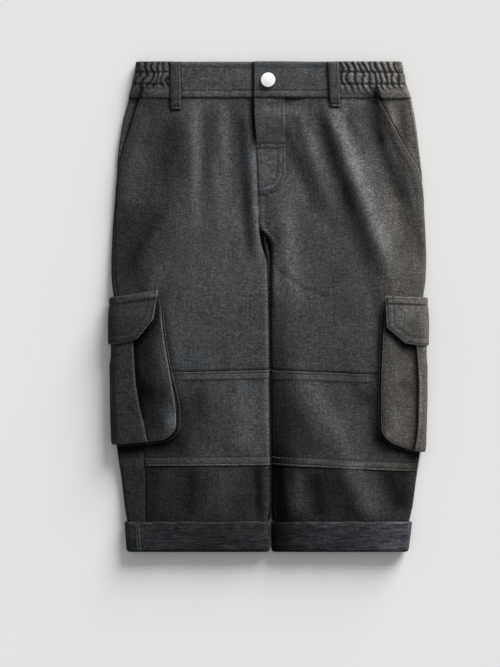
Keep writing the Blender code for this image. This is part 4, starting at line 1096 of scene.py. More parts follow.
def make_cargo_pocket(side):
    reach, down = pocket_grid(side)
    out = pocket_out(side, down, reach)
    edge, along = to_path(reach, down, pocket_edge_path(side, reach_to=-10.0))
    front = ease((reach + EDGE_REACH) / 4)
    cargo_edge, pleat = (read(CARGO[side], column, down) for column in ("edge", "pleat"))
    past = reach - pleat
    lower = ease((down - POCKET_TOP - 6) / 14)
    turn = turn_at_reach(side, down, reach)
    x, _ = ring(side, down, turn)
    relief = -0.8 * bump(edge, 0.9) + sewn(edge - POCKET_ROW, along, 111 + side, 0.25, 0.14)
    relief = relief + 0.8 * wrinkles(reach * 1.3, down, 112 + side) + 0.3 * uneven(reach / 9, down / 17, 113)
    relief = relief * front

    # The lighter lower front corner is wear, with a painted highlight on its crumple
    if side == RIGHT:
        deep = mix(6.0, 2.6, ease((down - 318) / 40))
        painted_light_and_wear = 1.5 * bump(np.hypot(reach - 57.0, (down - 358.0) * 0.7), 5.4)
        under_flap = 0.6
    else:
        deep = 2.6
        painted_light_and_wear = 1.1 * bump(np.hypot(reach - 35.0, (down - 374.0) * 0.7), 2.7)
        under_flap = 0.88
    # Painted light and shade: a painted highlight on the front edge and the pleat's fold, painted shadow in the
    # pleat,
    crease = bump(past + 0.5, 0.8) * lower
    # and painted shade in the stitch groove
    gloom = ease(past / 0.6) * bump(past, deep) * lower
    tone = mottle_and_painted_light(side, x, np.minimum(down, 395)) * (1 + 0.9 * front * (bump(edge - 0.3, 0.7) + crease))
    tone = tone * (1 - 0.25 * bump(edge - POCKET_ROW, 0.6) * front) * (1 - 0.8 * gloom * front) * (1 + painted_light_and_wear)
    if side == RIGHT:
        # Painted shade in the recess behind the pleat, lighter towards the front edge, a painted shadow under the
        # flap,
        away = ease(past / np.maximum(cargo_edge - pleat, 1) * 1.15 - 0.1)
        # and the box painted lighter
        recess = ease(past / 1.5) * ease((edge - 1.0) / 3)
        hollow = 0.46 + 0.34 * bump(down - 331, 12) - 0.5 * ease((down - 352) / 22)
        hollow = hollow + 0.12 * uneven(reach / 7, down / 13, 116)
        tone = tone * (1 - hollow * (1 - 0.35 * away) * recess) * (1 + 0.4 * away * recess)
        tone = tone * (1 - 0.45 * recess * bump(np.maximum(down - 262, 0), 16)) * mix(1.3, 1.0, recess)
    else:
        tone = tone * 1.12
    # Painted shadow below the flap's edge
    below_flap, _ = to_path(reach, down, flap_path(side))
    tone = tone * (1 - under_flap * ease((9 - below_flap) / 6) * ease(past / 1.5))

    outer = moved_out(side, down, turn, out + relief)
    inner = moved_out(side, down, turn, np.maximum(out + relief - CLOTH, 0.25))
    shell("cargo_pocket_" + WORD[side], outer, inner, tone, "folded", ["front_" + WORD[side]])


# The bellows strip's section under the pocket: out from its edge, and how far up it rises
Section = namedtuple("Section", "out rise")
SECTIONS = rows_of(Section, (-2.8, 1.0), (-2.2, 0.8), (-1.6, 0.55), (-0.9, 0.35), (-0.1, 0.2))
# Its sewn-down lip: in from the strip's outer edge, and up from the leg
LIP = rows_of(Section, (-1.4, 0.1), (-0.6, 0.55), (0.0, 0.6), (0.5, 0.05))


def make_cargo_gusset(side):
    """The bellows strip between the leg and the pocket's edge, with its sewn-down outer lip."""
    path = pocket_edge_path(side, reach_to=1.0)
    path = path[path[:, 1] > POCKET_TOP + GUSSET_START]
    length = np.concatenate([[0], np.cumsum(np.hypot(*np.diff(path, axis=0).T))])
    samples = np.linspace(0, length[-1], 150)
    reach, down = (np.interp(samples, length, path[:, k]) for k in (0, 1))
    run, fall = np.gradient(reach, samples), np.gradient(down, samples)
    size = np.hypot(run, fall)
    out_reach, out_down = fall / size, -run / size
    over = pocket_out(side, down, read(CARGO[side], "edge", down))
    over = np.minimum(over, pocket_out(side, down - 1.0, reach))
    inside = np.maximum(over - CLOTH - CLEAR - 0.3, 0.4)
    flare = 1.6 + 0 * down
    if side == RIGHT:
        flare = 1.4 + 2.2 * ease((down - 300) / 50) * ease((384 - down) / 14)
    out = np.stack([point.out + 0 * down for point in SECTIONS] + [flare + point.out for point in LIP], axis=1)
    rise = [mix(CLEAR, inside, point.rise) for point in SECTIONS]
    rise += [CLEAR + point.rise + 0 * down for point in LIP]
    rise = np.stack(rise, axis=1)
    faces = []
    for thick in (GUSSET_WALL * 0.6, 0.0):
        beyond = out + thick * 0.6
        places = down[:, None] + out_down[:, None] * beyond, reach[:, None] + out_reach[:, None] * beyond
        faces.append(at_reach(side, *places, rise + thick))
    # Painted shade: the strip is painted near black, darker under the pocket's foot, with a painted highlight on its
    # lip
    foot = ease((down - 362) / 12)[:, None]
    tone = mix(0.22, 0.08, foot) + mix(0.75, 0.30, foot) * bump(out - flare[:, None], 0.5)
    shell("cargo_gusset_" + WORD[side], *faces, tone, "folded", ["knee_" + WORD[side]])


def flap_path(side):
    """The flap's front edge and foot as (reach, down), and on underneath."""
    first, _, last = FLAP[side]
    feet = [(line.foot_reach, line.foot_down) for line in FLAP[side]]
    return [(first.top_reach, first.top_down), *feet, (UNDER_LEG, last.foot_down)]


def flap_top(side):
    return [(line.top_reach, line.top_down) for line in FLAP[side]]


def flap_height(side, reach, down):
    """The flap lies smoothly over the pocket's mouth and its box."""
    covered = ease((down - POCKET_TOP + 10) / 8)
    edge, pleat = (read(CARGO[side], column, down) for column in ("edge", "pleat"))
    lower = np.maximum(down + 4, POCKET_TOP)
    over = pocket_out(side, lower, np.minimum(np.maximum(reach, edge - 7.0), edge))
    on_box = pocket_out(side, lower, np.minimum(reach, read(CARGO[side], "pleat", lower)))
    share = ease((edge - 8.0 - reach) / np.maximum(edge - 8.0 - pleat, 4))
    clear = mix(FLAP_CLEAR, CLEAR, ease(0.5 - reach / (2 * EDGE_REACH)))
    return mix(over, on_box, share) * covered + FLAP_WALL + clear


def make_cargo_flap(side):
    first, corner, last = FLAP[side]
    share = between((0.0, 0.06, 0.94, 1.0), (8, 54, 8))[:, None]
    reaches, downs = [], []
    for a, b, across in (
        (first, corner, between((0.0, 0.1, 1.0), (10, 32))), (corner, last, between((0.0, 1.0), (24,)))
    ):
        top_reach, top_down, foot_reach, foot_down = (mix(p, q, across[None, :-1]) for p, q in zip(a, b))
        reaches.append(mix(top_reach, foot_reach, share))
        downs.append(mix(top_down, foot_down, share))
    turned = np.concatenate([-fold_quarter()[::-1], -between((EDGE_REACH + 4, POCKET_UNDER), (12,))])[None, :]
    reach = np.concatenate([*reaches, turned + 0 * share], axis=1)
    down = np.concatenate([*downs, mix(last.top_down, last.foot_down, share) + 0 * turned], axis=1)
    edge, along = to_path(reach, down, flap_path(side))
    from_top, across = to_path(reach, down, flap_top(side) + [(UNDER_LEG, last.top_down)])
    turn = turn_at_reach(side, down, reach)
    x, _ = ring(side, down, turn)
    front = ease((reach + EDGE_REACH) / 4)
    brighter, dark = (1.08, 0.62) if side == RIGHT else (1.12, 0.45)
    relief = -1.0 * bump(edge, 0.9) - 0.9 * bump(from_top, 0.9) + 0.5 * wrinkles(reach, down, 127 + side)
    relief = relief + 0.5 * ease((8 - edge) / 8) * uneven(along / 26, at_level(along), 128)
    for k, (drop, deep) in enumerate(zip(FLAP_TOP_ROWS, (0.3, 0.9))):
        relief = relief + sewn(from_top - drop, across, 125 + k, deep, 0.12)
    # Painted light and shade: a painted highlight on the edge and the raised top band, painted shade in the groove
    tone = mottle_and_painted_light(side, x, down) * brighter * (1 + 1.2 * front * bump(edge - 0.3, 0.7))
    # under the top's piping, and painted shade in the stitch grooves beside painted highlights
    tone = tone * (1 - dark * front * bump(from_top - 8.0, 1.1))
    tone = tone * (1 + 0.16 * front * ease((8 - from_top) / 1.5))
    for inset in FLAP_ROWS:
        relief = relief + sewn(edge - inset, along, 121 + inset, 0.26, 0.12)
        tone = tone * (1 - 0.50 * front * bump(edge - inset, 0.55))
        tone = tone * (1 + 0.35 * front * bump(edge - inset + 1.2, 0.6))
    out = flap_height(side, reach, down)
    outer, inner = (moved_out(side, down, turn, off) for off in (out + relief * front, out - FLAP_WALL))
    shell("cargo_flap_" + WORD[side], outer, inner, tone, "folded", ["cargo_pocket_" + WORD[side]])


# --- button ---------------------------------------------------------------------------------------------------------


# The button's section: from the middle of its face, round its rim, to the middle of its shank's foot
Turned = namedtuple("Turned", "radius z")
BUTTON_SECTION = rows_of(Turned,
    (0.0, 3.05), (2.0, 3.03), (3.6, 2.95), (5.0, 2.78), (5.9, 2.62), (6.2, 2.62), (6.6, 2.66), (6.95, 2.5),
    (7.15, 2.15), (7.2, 1.75), (7.1, 1.35), (6.8, 1.1), (6.0, 1.0), (2.6, 0.9), (2.3, 0.6), (2.3, 0.0),
    (0.0, 0.0))
BUTTON_STEPS = 72


def make_button():
    """A flat-domed metal button with a turned rim, on a short shank."""
    x, down = np.array(BUTTON_X), np.array(BUTTON_DOWN)
    middle = at(x, down, own_top(x, down) + band_out(x) + GAP)
    places, rings, faces = [], [], []
    for radius, z in BUTTON_SECTION:
        angles = 2 * math.pi * np.arange(BUTTON_STEPS if radius else 1) / BUTTON_STEPS
        rings.append(len(places) + np.arange(BUTTON_STEPS) % len(angles))
        places += [(radius * math.cos(angle), radius * math.sin(angle), z) for angle in angles]
    for upper, lower in zip(rings, rings[1:]):
        faces.append(np.stack([upper, lower, np.roll(lower, -1), np.roll(upper, -1)], axis=-1))
    places, faces, even = np.array(places) * MM + middle, np.concatenate(faces), np.ones(len(places))
    finished("button_metal_part", places, faces, "button_finish", even, "button")


# --- node trees -----------------------------------------------------------------------------------------------------


def new_group(name, kind, inputs, outputs):
    """An empty node group, with its given and resulting sockets. Each has its kind and perhaps its default."""
    tree = bpy.data.node_groups.new(name, kind)
    for in_out, sockets in (("INPUT", inputs), ("OUTPUT", outputs)):
        for label, (holds, *default) in sockets.items():
            socket = tree.interface.new_socket(name=label, in_out=in_out, socket_type="NodeSocket" + holds)
            if default:
                socket.default_value = default[0]
    return tree, tree.nodes.new("NodeGroupInput").outputs, tree.nodes.new("NodeGroupOutput").inputs


def give(tree, node, inputs):
    """Links a node's inputs to sockets, or sets them to values."""
    for name, value in inputs.items():
        if isinstance(value, bpy.types.NodeSocket):
            tree.links.new(value, node.inputs[name])
        else:
            node.inputs[name].default_value = value


def new_node(tree, kind, inputs, **settings):
    """The outputs of a new node."""
    node = tree.nodes.new(kind)
    for name, value in settings.items():
        setattr(node, name, value)
    give(tree, node, inputs)
    return node.outputs


def new_material(name):
    material = bpy.data.materials.new(name)
    material.use_nodes = True
    return material.node_tree, material.node_tree.nodes["Principled BSDF"]


# --- sewing ---------------------------------------------------------------------------------------------------------


def threaded(tree, shapes, thread, result):
    """Ends a Geometry Nodes tree: its shapes are made real and given their thread."""
    real = new_node(tree, "GeometryNodeRealizeInstances", {"Geometry": shapes})
    sewn_on = new_node(tree, "GeometryNodeSetMaterial", {"Geometry": real["Geometry"], "Material": thread})
    tree.links.new(sewn_on["Geometry"], result)
    return tree


def stitch_tree():
    """Geometry Nodes: a rounded stitch at every pitch along the input curves, turned to follow them."""
    tree, given, result = new_group("Topstitching", "GeometryNodeTree", {
        "Seam Lines": ["Geometry"],
        "Stitch Length": ["Float", 0.0021],
        "Stitch Pitch": ["Float", 0.0028],
        "Thread Radius": ["Float", 0.00024],
        "Thread": ["Material"],
    }, {"Stitches": ["Geometry"]})
    points = new_node(tree, "GeometryNodeCurveToPoints", {
        "Curve": given["Seam Lines"], "Length": given["Stitch Pitch"],
    }, mode="LENGTH")
    grain = new_node(tree, "GeometryNodeMeshUVSphere", {"Segments": 6, "Rings": 4, "Radius": 1.0})
    half = new_node(tree, "ShaderNodeMath", {0: given["Stitch Length"], 1: 0.5}, operation="MULTIPLY")
    radius = given["Thread Radius"]
    size = new_node(tree, "ShaderNodeCombineXYZ", {"X": radius, "Y": radius, "Z": half[0]})
    turned = new_node(tree, "FunctionNodeAlignRotationToVector", {"Vector": points["Tangent"]}, axis="Z")
    stitches = new_node(tree, "GeometryNodeInstanceOnPoints", {
        "Points": points["Points"], "Instance": grain["Mesh"],
        "Rotation": turned["Rotation"], "Scale": size["Vector"],
    })
    return threaded(tree, stitches["Instances"], given["Thread"], result["Stitches"])


def thread_tree():
    """Geometry Nodes: a continuous thread along the input curves."""
    tree, given, result = new_group("Laid Thread", "GeometryNodeTree", {
        "Thread Path": ["Geometry"], "Thread Radius": ["Float", 0.00024], "Thread": ["Material"],
    }, {"Bars": ["Geometry"]})
    section = {"Resolution": 5, "Radius": given["Thread Radius"]}
    circle = new_node(tree, "GeometryNodeCurvePrimitiveCircle", section)
    swept = new_node(tree, "GeometryNodeCurveToMesh", {
        "Curve": given["Thread Path"], "Profile Curve": circle["Curve"], "Fill Caps": True,
    })
    return threaded(tree, swept["Mesh"], given["Thread"], result["Bars"])


def sewn_piece(name, lines, tree, thread, sizes):
    """Runs a node tree on seam lines and keeps its result as a plain mesh."""
    curve = bpy.data.curves.new(name + "_lines", "CURVE")
    curve.dimensions = "3D"
    for line in lines:
        spline = curve.splines.new("POLY")
        spline.points.add(len(line) - 1)
        spline.points.foreach_set("co", np.concatenate([line, np.ones((len(line), 1))], axis=1).ravel())
    guide = bpy.data.objects.new(name + "_lines", curve)
    bpy.context.scene.collection.objects.link(guide)
    nodes = guide.modifiers.new("Sewing", "NODES")
    nodes.node_group = tree
    values = {**sizes, "Thread": bpy.data.materials[thread]}
    for item in tree.interface.items_tree:
        if item.in_out == "INPUT" and item.name in values:
            nodes[item.identifier] = values[item.name]
    mesh = bpy.data.meshes.new_from_object(guide.evaluated_get(bpy.context.evaluated_depsgraph_get()))
    bpy.data.objects.remove(guide)
    if not len(mesh.polygons):
        raise RuntimeError(name + " has no stitches")
    mesh.name = name
    mesh.materials.clear()
    placed(name, mesh, thread)


def on_leg(side, turns, downs, out):
    """A seam line on the leg's front cloth, lifted to lie on it."""
    turns, downs = np.broadcast_arrays(np.asarray(turns, float), np.asarray(downs, float))
    x, _ = ring(side, downs, turns)
    return moved_out(side, downs, turns, leg_relief(side, x, downs) + out)


def leg_seam_lines():
    lines, gauge = [], needle_gauge()
    for side in SIDES:
        knee, shin = KNEE_SEAM[side], SHIN_SEAM[side]
        at_pocket, last = turn_at_reach(side, 312.0, read(CARGO[side], "edge", 312.0) + 3), 0.98
        if side == RIGHT:
            last = turn_at_reach(side, 400.0, front_edge(side, 400.0) + 1)
        for seam, onto_knee, end in ((knee, 1, at_pocket), (shin, -1, last)):
            turns = np.linspace(0.04, end, 90)
            for row in (SEAM_ROW, SEAM_ROW + gauge):
                start = seam.inner + onto_knee * row
                share = (start - knee.inner) / (shin.inner - knee.inner)
                downs = start + mix(knee.drop, shin.drop, share) * turns
                lines.append(on_leg(side, turns, downs, SEAM_RISE - 0.12))
        downs = np.linspace(WAISTBAND_DEPTH + 1.5, 138 if side == LEFT else 124, 70)
        for row in (MOUTH_ROW, MOUTH_ROW + gauge):
            lines.append(on_leg(side, turn_at_reach(side, downs, front_edge(side, downs) + row), downs, 0.28))
    downs = np.linspace(130, 180, 40)
    lines.append(on_leg(LEFT, turn_at_x(LEFT, downs, inner_x(LEFT, downs) + CENTRE_ROW), downs, 0.2))
    return lines


def waistband_lines():
    lines = []
    for start, end, lapped in (
        (ELASTIC_END[RIGHT] + 6.5, LAP_EDGE - 1.5, False), (LAP_EDGE + LAP_ROW, ELASTIC_END[LEFT] - 6.5, True)
    ):
        x = np.linspace(start, end, 80)
        for row in BAND_ROWS:
            lines.append(at(x, row, own_top(x, row + 0 * x) + band_out(x, lapped) + 0.02))
    down = np.linspace(*BAND_ROWS, 24)
    x = LAP_EDGE + LAP_ROW + 0 * down
    lines.append(at(x, down, own_top(x, down) + band_out(x) + 0.05))
    for side in SIDES:
        for row in CHANNELS:
            start = float(turn_at_x(side, np.array(row), ELASTIC_END[side] + side * 2.0))
            turns = np.linspace(start, 1.02, 150)
            share = (turns - start) / (1 - start)
            wave = gather(side, np.clip(share, 0, 1), np.full_like(share, row))[0] * ease(share * 9)
            lines.append(moved_out(side, row + 0 * turns, turns, BAND_RISE + GATHER_HEIGHT[side] * wave - 0.2))
    return lines


def fly_lines():
    edge = [(float(read(PLACKET, "back", down)), down) for down in np.linspace(39.0, PLACKET[-1].down, 120)]
    lines = []
    for inset in PLACKET_ROWS:
        x, down = moved_in(edge, inset).T
        on_facing = (x > read(PLACKET, "front", down) + 1) & (down < 133 - inset * 0.4)
        x, down = x[on_facing], down[on_facing]
        out = CLEAR + CLOTH + 0.1 + PLACKET_LIFT * 0.3 * (1 - ease((down - 60) / 18))
        lines.append(at(x, down, own_top(x, down) + out))
    x = np.linspace(-9.6, 9.6, 24)
    for row in BAR_ROWS:
        lines.append(at(x, row, own_top(x, row + 0 * x) + CLEAR + CLOTH + 0.05))
    return lines


def cargo_lines():
    lines = []
    for side in SIDES:
        below_flap = FLAP[side][0].foot_down - 4
        path = pocket_edge_path(side, POCKET_ROW, 0.6)
        reach, down = path[path[:, 1] > below_flap].T
        lines.append(at_reach(side, down, reach, pocket_out(side, down, reach) + 0.12))
        for inset in FLAP_ROWS:
            lines.append(on_flap(side, mitred(flap_path(side)[:-1], inset), 0.05))
        for drop, lift in zip(FLAP_TOP_ROWS, (0.0, -0.25)):
            row = np.array(flap_top(side)) + (0.0, drop)
            row[0, 0] -= 1.0
            lines.append(on_flap(side, row, lift))
    return lines


def mitred(corners, inset):
    """A path of straight lines moved in by a distance."""
    corners = np.array(corners)
    runs = np.diff(corners, axis=0)
    runs = runs / np.hypot(*runs.T)[:, None]
    before, after = np.concatenate([runs[:1], runs]), np.concatenate([runs, runs[-1:]])
    run, fall = ((before + after) / (1 + (before * after).sum(axis=1))[:, None]).T
    return corners + inset * np.stack([-fall, run], axis=1)


def on_flap(side, corners, lift):
    """A seam line on the flap, as far as it stays off the floor."""
    points = []
    for a, b in zip(corners, corners[1:]):
        count = max(int(np.hypot(*(b - a)) / 1.5), 1)
        points += [mix(a, b, k / count) for k in range(count)]
    reach, down = np.array([*points, corners[-1]]).T
    line = at_reach(side, down, reach, flap_height(side, reach, down) + lift)
    return line[line[:, 2] > 1.2 * MM]


def loop_lines():
    lines = []
    for loop in BELT_LOOPS.values():
        down = np.linspace(loop.top + 2, loop.foot - 4.5, 40)
        middle = mix(loop.x, loop.foot_x, (down - loop.top) / (loop.foot - loop.top))
        for way in SIDES:
            x = middle + way * (loop.width / 2 - LOOP_ROW)
            lines.append(at(x, down, loop_height(loop, x, down) + 0.02))
    return lines


def zigzag(start, end, width):
    """Where a bar tack's thread goes as it crosses to and fro between two places."""
    (x, down), (to_x, to_down) = start, end
    length = math.hypot(to_x - x, to_down - down)
    count = int(length / TACK_PITCH)
    share = np.arange(count + 1) / count
    swing = width / 2 * np.where(np.arange(count + 1) % 2, 1, -1) / length
    return mix(x, to_x, share) - swing * (to_down - down), mix(down, to_down, share) + swing * (to_x - x)


def bar_lines():
    lines = []
    for loop in BELT_LOOPS.values():
        foot, half = loop.foot - LOOP_BAR, loop.width * 0.42
        x, down = zigzag((loop.foot_x - half, foot), (loop.foot_x + half, foot), 1.7)
        lines.append(at(x, down, loop_height(loop, x, down) - 0.35))
    for end in (-8.6, 8.6):
        x, down = zigzag((end, 81.6), (end, 87.6), 1.3)
        lines.append(at(x, down, own_top(x, down) + CLEAR + CLOTH + 0.15))
    for side in SIDES:
        corner_reach, corner_down = FLAP[side][0].top_reach - 2.0, FLAP[side][0].top_down + 2.0
        reach, down = zigzag((corner_reach, corner_down), (corner_reach - 1.0, corner_down + 6.0), 1.3)
        lines.append(at_reach(side, down, reach, flap_height(side, reach, down) + 0.1))
    return lines


def overlock_lines():
    """The bound seam allowance that shows on the wrong side of the right cuff."""
    down = np.linspace(CUFF_TOP + 2.0, CUFF_TOP + 27.5, 60)
    swing = np.where(np.arange(60) % 2, 0.5, -0.5)
    return [
        at_reach(RIGHT, down, reach + width * swing, CLEAR + CUFF_WALL + 0.65)
        for reach, width in ((8.8, 1.6), (11.4, 1.2))
    ]


# --- finishes -------------------------------------------------------------------------------------------------------


def weave_group(weave_size):
    """Shader group: a washed canvas's colour variation, height and roughness on object coordinates."""
    tree, given, result = new_group("Washed Canvas", "ShaderNodeTree", {
        "Colour": ["Color"],
        "Tone": ["Float", 1.0],
        "Mottling": ["Float", 0.25],
        "Crosswise Yarn": ["Float", 0.0],
    }, {"Colour": ["Color"], "Height": ["Float"], "Roughness": ["Float"]})
    place = new_node(tree, "ShaderNodeTexCoord", {})["Object"]
    yarns = 0.8 / weave_size

    def noise(scale, stretch, detail, rough=0.6):
        stretched = new_node(tree, "ShaderNodeMapping", {"Vector": place, "Scale": stretch})["Vector"]
        return new_node(tree, "ShaderNodeTexNoise", {
            "Vector": stretched, "Scale": scale, "Detail": detail, "Roughness": rough,
        })["Fac"]

    def maths(operation, *values):
        return new_node(tree, "ShaderNodeMath", dict(enumerate(values)), operation=operation)[0]

    grain = noise(yarns, (1, 1, 1), 2.0, 0.5)
    slub = noise(yarns, (1.0, 0.16, 1.0), 1.0)
    cross = noise(yarns, (0.3, 1.0, 1.0), 1.0)
    lines = noise(yarns, (0.14, 1.0, 1.0), 0.5)
    cloud = noise(60, (1, 0.7, 1), 3.0)
    total = maths("MULTIPLY_ADD", grain, 1.7, -0.85)
    for yarn, share in ((slub, 0.55), (cross, 0.75), (cloud, 0.35), (lines, given["Crosswise Yarn"])):
        total = maths("MULTIPLY_ADD", maths("SUBTRACT", yarn, 0.5), share, total)
    total = maths("MULTIPLY", total, given["Mottling"])
    factor = maths("MULTIPLY_ADD", maths("MULTIPLY", total, total), 0.4, maths("ADD", total, 0.98))
    # The tone scales the colour: it carries the pieces' mottling and their painted light and shade
    factor = maths("MAXIMUM", maths("MULTIPLY_ADD", factor, given["Tone"], -0.04), 0.015)
    shaded = new_node(tree, "ShaderNodeVectorMath", {0: given["Colour"], "Scale": factor}, operation="SCALE")
    tint = new_node(tree, "ShaderNodeMix", {
        "Factor": noise(38, (1, 0.8, 1), 2.0), "A": (0.90, 1.01, 1.05, 1), "B": (1.09, 0.99, 0.94, 1),
    }, data_type="RGBA")
    dyed = new_node(tree, "ShaderNodeVectorMath", {0: shaded[0], 1: tint["Result"]}, operation="MULTIPLY")
    tree.links.new(dyed[0], result["Colour"])
    height = maths("MULTIPLY_ADD", cross, 0.8, maths("MULTIPLY_ADD", slub, 0.7, maths("MULTIPLY", grain, 0.8)))
    tree.links.new(height, result["Height"])
    tree.links.new(maths("MULTIPLY_ADD", cloud, 0.1, 0.84), result["Roughness"])
    return tree


def cloth_material(name, colour, group, mottling, side_colour=None, crosswise=0.0):
    tree, shader = new_material(name)
    tone = new_node(tree, "ShaderNodeAttribute", {}, attribute_name="tone")
    dye = (*colour, 1)
    if side_colour is not None:
        cast = new_node(tree, "ShaderNodeAttribute", {}, attribute_name="cast")
        sides = {"Factor": cast["Fac"], "A": dye, "B": (*side_colour, 1)}
        dye = new_node(tree, "ShaderNodeMix", sides, data_type="RGBA")["Result"]
    given = {"Colour": dye, "Tone": tone["Fac"], "Mottling": mottling, "Crosswise Yarn": crosswise}
    weave = new_node(tree, "ShaderNodeGroup", given, node_tree=group)
    relief = new_node(tree, "ShaderNodeBump", {"Strength": 0.6, "Distance": 0.0004, "Height": weave["Height"]})
    give(tree, shader, {
        "Base Color": weave["Colour"], "Roughness": weave["Roughness"], "Normal": relief["Normal"],
        "Specular IOR Level": 0.05,
        "Sheen Weight": 0.035, "Sheen Roughness": 0.5, "Sheen Tint": (0.75, 0.77, 0.8, 1),
    })


def speckled_material(name, colour, roughness, scale, amount, depth, shaded=1.0):
    """Thread or metal of fine uneven colour and relief; painted shade darkens it by a share to the garment's right.
    """
    tree, shader = new_material(name)
    place = new_node(tree, "ShaderNodeTexCoord", {})["Object"]
    speck = new_node(tree, "ShaderNodeTexNoise", {"Vector": place, "Scale": scale, "Detail": 3.0})["Fac"]
    ramp = new_node(tree, "ShaderNodeValToRGB", {"Fac": speck})["Color"]
    stops = ramp.node.color_ramp.elements
    for stop, position, share in zip(stops, (0.3, 0.7), (1 - amount, 1 + amount)):
        stop.position, stop.color = position, (*(min(c * share, 1) for c in colour), 1)
    across = new_node(tree, "ShaderNodeMapRange", {
        "Value": new_node(tree, "ShaderNodeSeparateXYZ", {0: place})["X"],
        "From Min": -0.12, "From Max": 0.0, "To Min": shaded,
    })
    scaled = new_node(tree, "ShaderNodeVectorMath", {0: ramp, "Scale": across["Result"]}, operation="SCALE")
    relief = new_node(tree, "ShaderNodeBump", {"Strength": 0.3, "Distance": depth, "Height": speck})
    give(tree, shader, {"Base Color": scaled[0], "Roughness": roughness, "Normal": relief["Normal"]})


# --- operators ------------------------------------------------------------------------------------------------------


class TROUSERS_OT_finishes(bpy.types.Operator):
    """Make the cloth, thread and metal finishes"""

    bl_idname = "trousers.finishes"
    bl_label = "Finishes"

    def execute(self, context):
        cloth = context.scene.trousers_cloth
        group = weave_group(cloth.weave_size)
        cloth_material("canvas_cloth", cloth.canvas, group, 1.22, cloth.side_cast)
        cloth_material("wrong_side_cloth", cloth.wrong_side, group, 1.08, crosswise=1.8)
        # The thread's painted shade keeps 0.42 of its colour at the garment's right
        speckled_material("topstitch_thread", cloth.thread, 0.7, 900, 0.25, 0.0001, 0.42)
        speckled_material("overlock_thread", cloth.overlock, 0.75, 700, 0.4, 0.0001)
        # Painted reflection: the metal button is given a near-white colour in place of its bright reflection of the
        # studio
        speckled_material("button_finish", (0.95, 0.95, 0.945), 0.42, 260, 0.03, 0.00004)
        return {"FINISHED"}


class TROUSERS_OT_legs(bpy.types.Operator):
    """Make the front, knee, shin and back panels of both legs"""

    bl_idname = "trousers.legs"
    bl_label = "Leg Panels"

    def execute(self, context):
        for make in (make_back, make_leg_front):
            for side in SIDES:
                make(side)
        return {"FINISHED"}


class TROUSERS_OT_hand_pockets(bpy.types.Operator):
    """Make the facings behind the slanted hand pockets"""

    bl_idname = "trousers.hand_pockets"
    bl_label = "Hand Pockets"

    def execute(self, context):
        for side in SIDES:
            make_hip_facing(side)
        return {"FINISHED"}


class TROUSERS_OT_waistband(bpy.types.Operator):
    """Make the flat waistband, its gathered elastic and the belt loops"""

    bl_idname = "trousers.waistband"
    bl_label = "Waistband"

    def execute(self, context):
        make_waistband()
        make_elastic()
        make_belt_loops()
        return {"FINISHED"}


class TROUSERS_OT_fly(bpy.types.Operator):
    """Make the fly's facing and the button"""

    bl_idname = "trousers.fly"
    bl_label = "Fly and Button"

    def execute(self, context):
        make_fly()
        make_button()
        return {"FINISHED"}


class TROUSERS_OT_cargo_pockets(bpy.types.Operator):
    """Make the cargo pockets with their bellows strips and flaps"""

    bl_idname = "trousers.cargo_pockets"
    bl_label = "Cargo Pockets"

    def execute(self, context):
        for side in SIDES:
            make_cargo_pocket(side)
            make_cargo_gusset(side)
            make_cargo_flap(side)
        return {"FINISHED"}


class TROUSERS_OT_cuffs(bpy.types.Operator):
    """Make the turned-up cuffs"""

    bl_idname = "trousers.cuffs"
    bl_label = "Cuffs"

    def execute(self, context):
        for side in SIDES:
            make_cuff(side)
        return {"FINISHED"}


class TROUSERS_OT_sewing(bpy.types.Operator):
    """Sew the topstitching, bar tacks and overlocked edge"""

    bl_idname = "trousers.sewing"
    bl_label = "Sewing"

    def execute(self, context):
        sewing = context.scene.trousers_sewing
        stitch = {
            "Stitch Length": sewing.stitch, "Stitch Pitch": sewing.pitch, "Thread Radius": sewing.thread_radius
        }
        stitches, laid = stitch_tree(), thread_tree()
        for name, lines in (
            ("leg_topstitching", leg_seam_lines()),
            ("waistband_topstitching", waistband_lines()),
            ("fly_topstitching", fly_lines()),
            ("cargo_topstitching", cargo_lines()),
            ("belt_loop_topstitching", loop_lines()),
        ):
            sewn_piece(name, lines, stitches, "topstitch_thread", stitch)
        for name, lines, thread, radius in (
            ("bar_tacks", bar_lines(), "topstitch_thread", TACK_RADIUS),
            ("cuff_overlock", overlock_lines(), "overlock_thread", OVERLOCK_RADIUS),
        ):
            sewn_piece(name, lines, laid, thread, {"Thread Radius": radius})
        return {"FINISHED"}


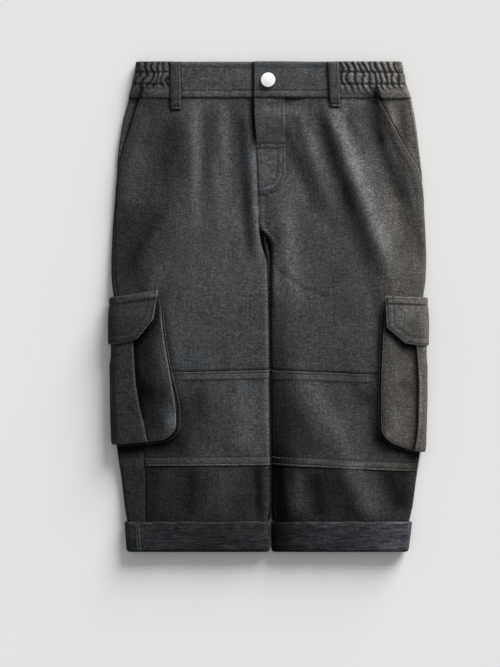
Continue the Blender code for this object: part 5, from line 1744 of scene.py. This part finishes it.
class TROUSERS_OT_stage(bpy.types.Operator):
    """Set the pale floor, the soft lights and the camera"""

    bl_idname = "trousers.stage"
    bl_label = "Stage"

    def execute(self, context):
        scene, stage = context.scene, context.scene.trousers_stage
        tree, shader = new_material("pale_floor")
        give(tree, shader, {"Base Color": (*stage.floor, 1), "Roughness": 0.9})
        mesh = bpy.data.meshes.new("floor")
        ways = ((-1, -1), (1, -1), (1, 1), (-1, 1))
        corners = [(x * FLOOR_HALF, y * FLOOR_HALF, FLOOR_LEVEL) for x, y in ways]
        mesh.from_pydata(corners, [], [(0, 1, 2, 3)])
        mesh.materials.append(bpy.data.materials["pale_floor"])
        floor = bpy.data.objects.new("floor", mesh)
        scene.collection.objects.link(floor)

        camera = bpy.data.cameras.new("camera")
        camera.lens, camera.sensor_width = stage.lens, SENSOR
        eye = bpy.data.objects.new("camera", camera)
        eye.location = Vector(at(*PHOTO_MIDDLE, 10.0)) + Vector((0, 0, PHOTO_LENGTH * stage.lens / SENSOR))

        sun = bpy.data.lights.new("key", "SUN")
        sun.energy, sun.angle, sun.color = stage.key, stage.key_spread, (1.0, 0.985, 0.965)
        key = bpy.data.objects.new("key", sun)
        level = math.cos(stage.key_height)
        x, y = math.sin(stage.key_side) * level, math.cos(stage.key_side) * level
        towards = Vector((x, y, math.sin(stage.key_height)))
        key.location = towards * 2
        key.rotation_euler = towards.to_track_quat("Z", "Y").to_euler()

        for made in (eye, key):
            scene.collection.objects.link(made)
        scene.camera = eye
        scene.world = bpy.data.worlds.new("studio")
        scene.world.use_nodes = True
        sky = scene.world.node_tree
        give(sky, sky.nodes["Background"], {"Color": (0.97, 0.985, 1.0, 1), "Strength": stage.sky})
        scene.view_settings.view_transform = "Standard"
        scene.view_settings.look = "None"
        return {"FINISHED"}


STEPS = (
    TROUSERS_OT_finishes, TROUSERS_OT_legs, TROUSERS_OT_hand_pockets, TROUSERS_OT_waistband, TROUSERS_OT_fly,
    TROUSERS_OT_cargo_pockets, TROUSERS_OT_cuffs, TROUSERS_OT_sewing, TROUSERS_OT_stage,
)


class TROUSERS_PT_panel(bpy.types.Panel):
    """The settings and the steps that dress the trousers"""

    bl_label = "Laid-out Trousers"
    bl_idname = "TROUSERS_PT_panel"
    bl_space_type = "VIEW_3D"
    bl_region_type = "UI"
    bl_category = "Trousers"

    def draw(self, context):
        scene = context.scene
        for settings in (scene.trousers_cloth, scene.trousers_sewing, scene.trousers_stage):
            box = self.layout.box()
            for name in settings.bl_rna.properties.keys():
                if name not in ("rna_type", "name"):
                    box.prop(settings, name)
        for step in STEPS:
            self.layout.operator(step.bl_idname)


CLASSES = (TrousersCloth, TrousersSewing, TrousersStage, *STEPS, TROUSERS_PT_panel)


def register():
    for made in CLASSES:
        bpy.utils.register_class(made)
    bpy.types.Scene.trousers_cloth = PointerProperty(type=TrousersCloth)
    bpy.types.Scene.trousers_sewing = PointerProperty(type=TrousersSewing)
    bpy.types.Scene.trousers_stage = PointerProperty(type=TrousersStage)


def unregister():
    del bpy.types.Scene.trousers_cloth
    del bpy.types.Scene.trousers_sewing
    del bpy.types.Scene.trousers_stage
    for made in reversed(CLASSES):
        bpy.utils.unregister_class(made)


def main():
    register()
    bpy.ops.trousers.finishes()
    bpy.ops.trousers.legs()
    bpy.ops.trousers.hand_pockets()
    bpy.ops.trousers.waistband()
    bpy.ops.trousers.fly()
    bpy.ops.trousers.cargo_pockets()
    bpy.ops.trousers.cuffs()
    bpy.ops.trousers.sewing()
    bpy.ops.trousers.stage()


if __name__ == "__main__":
    main()
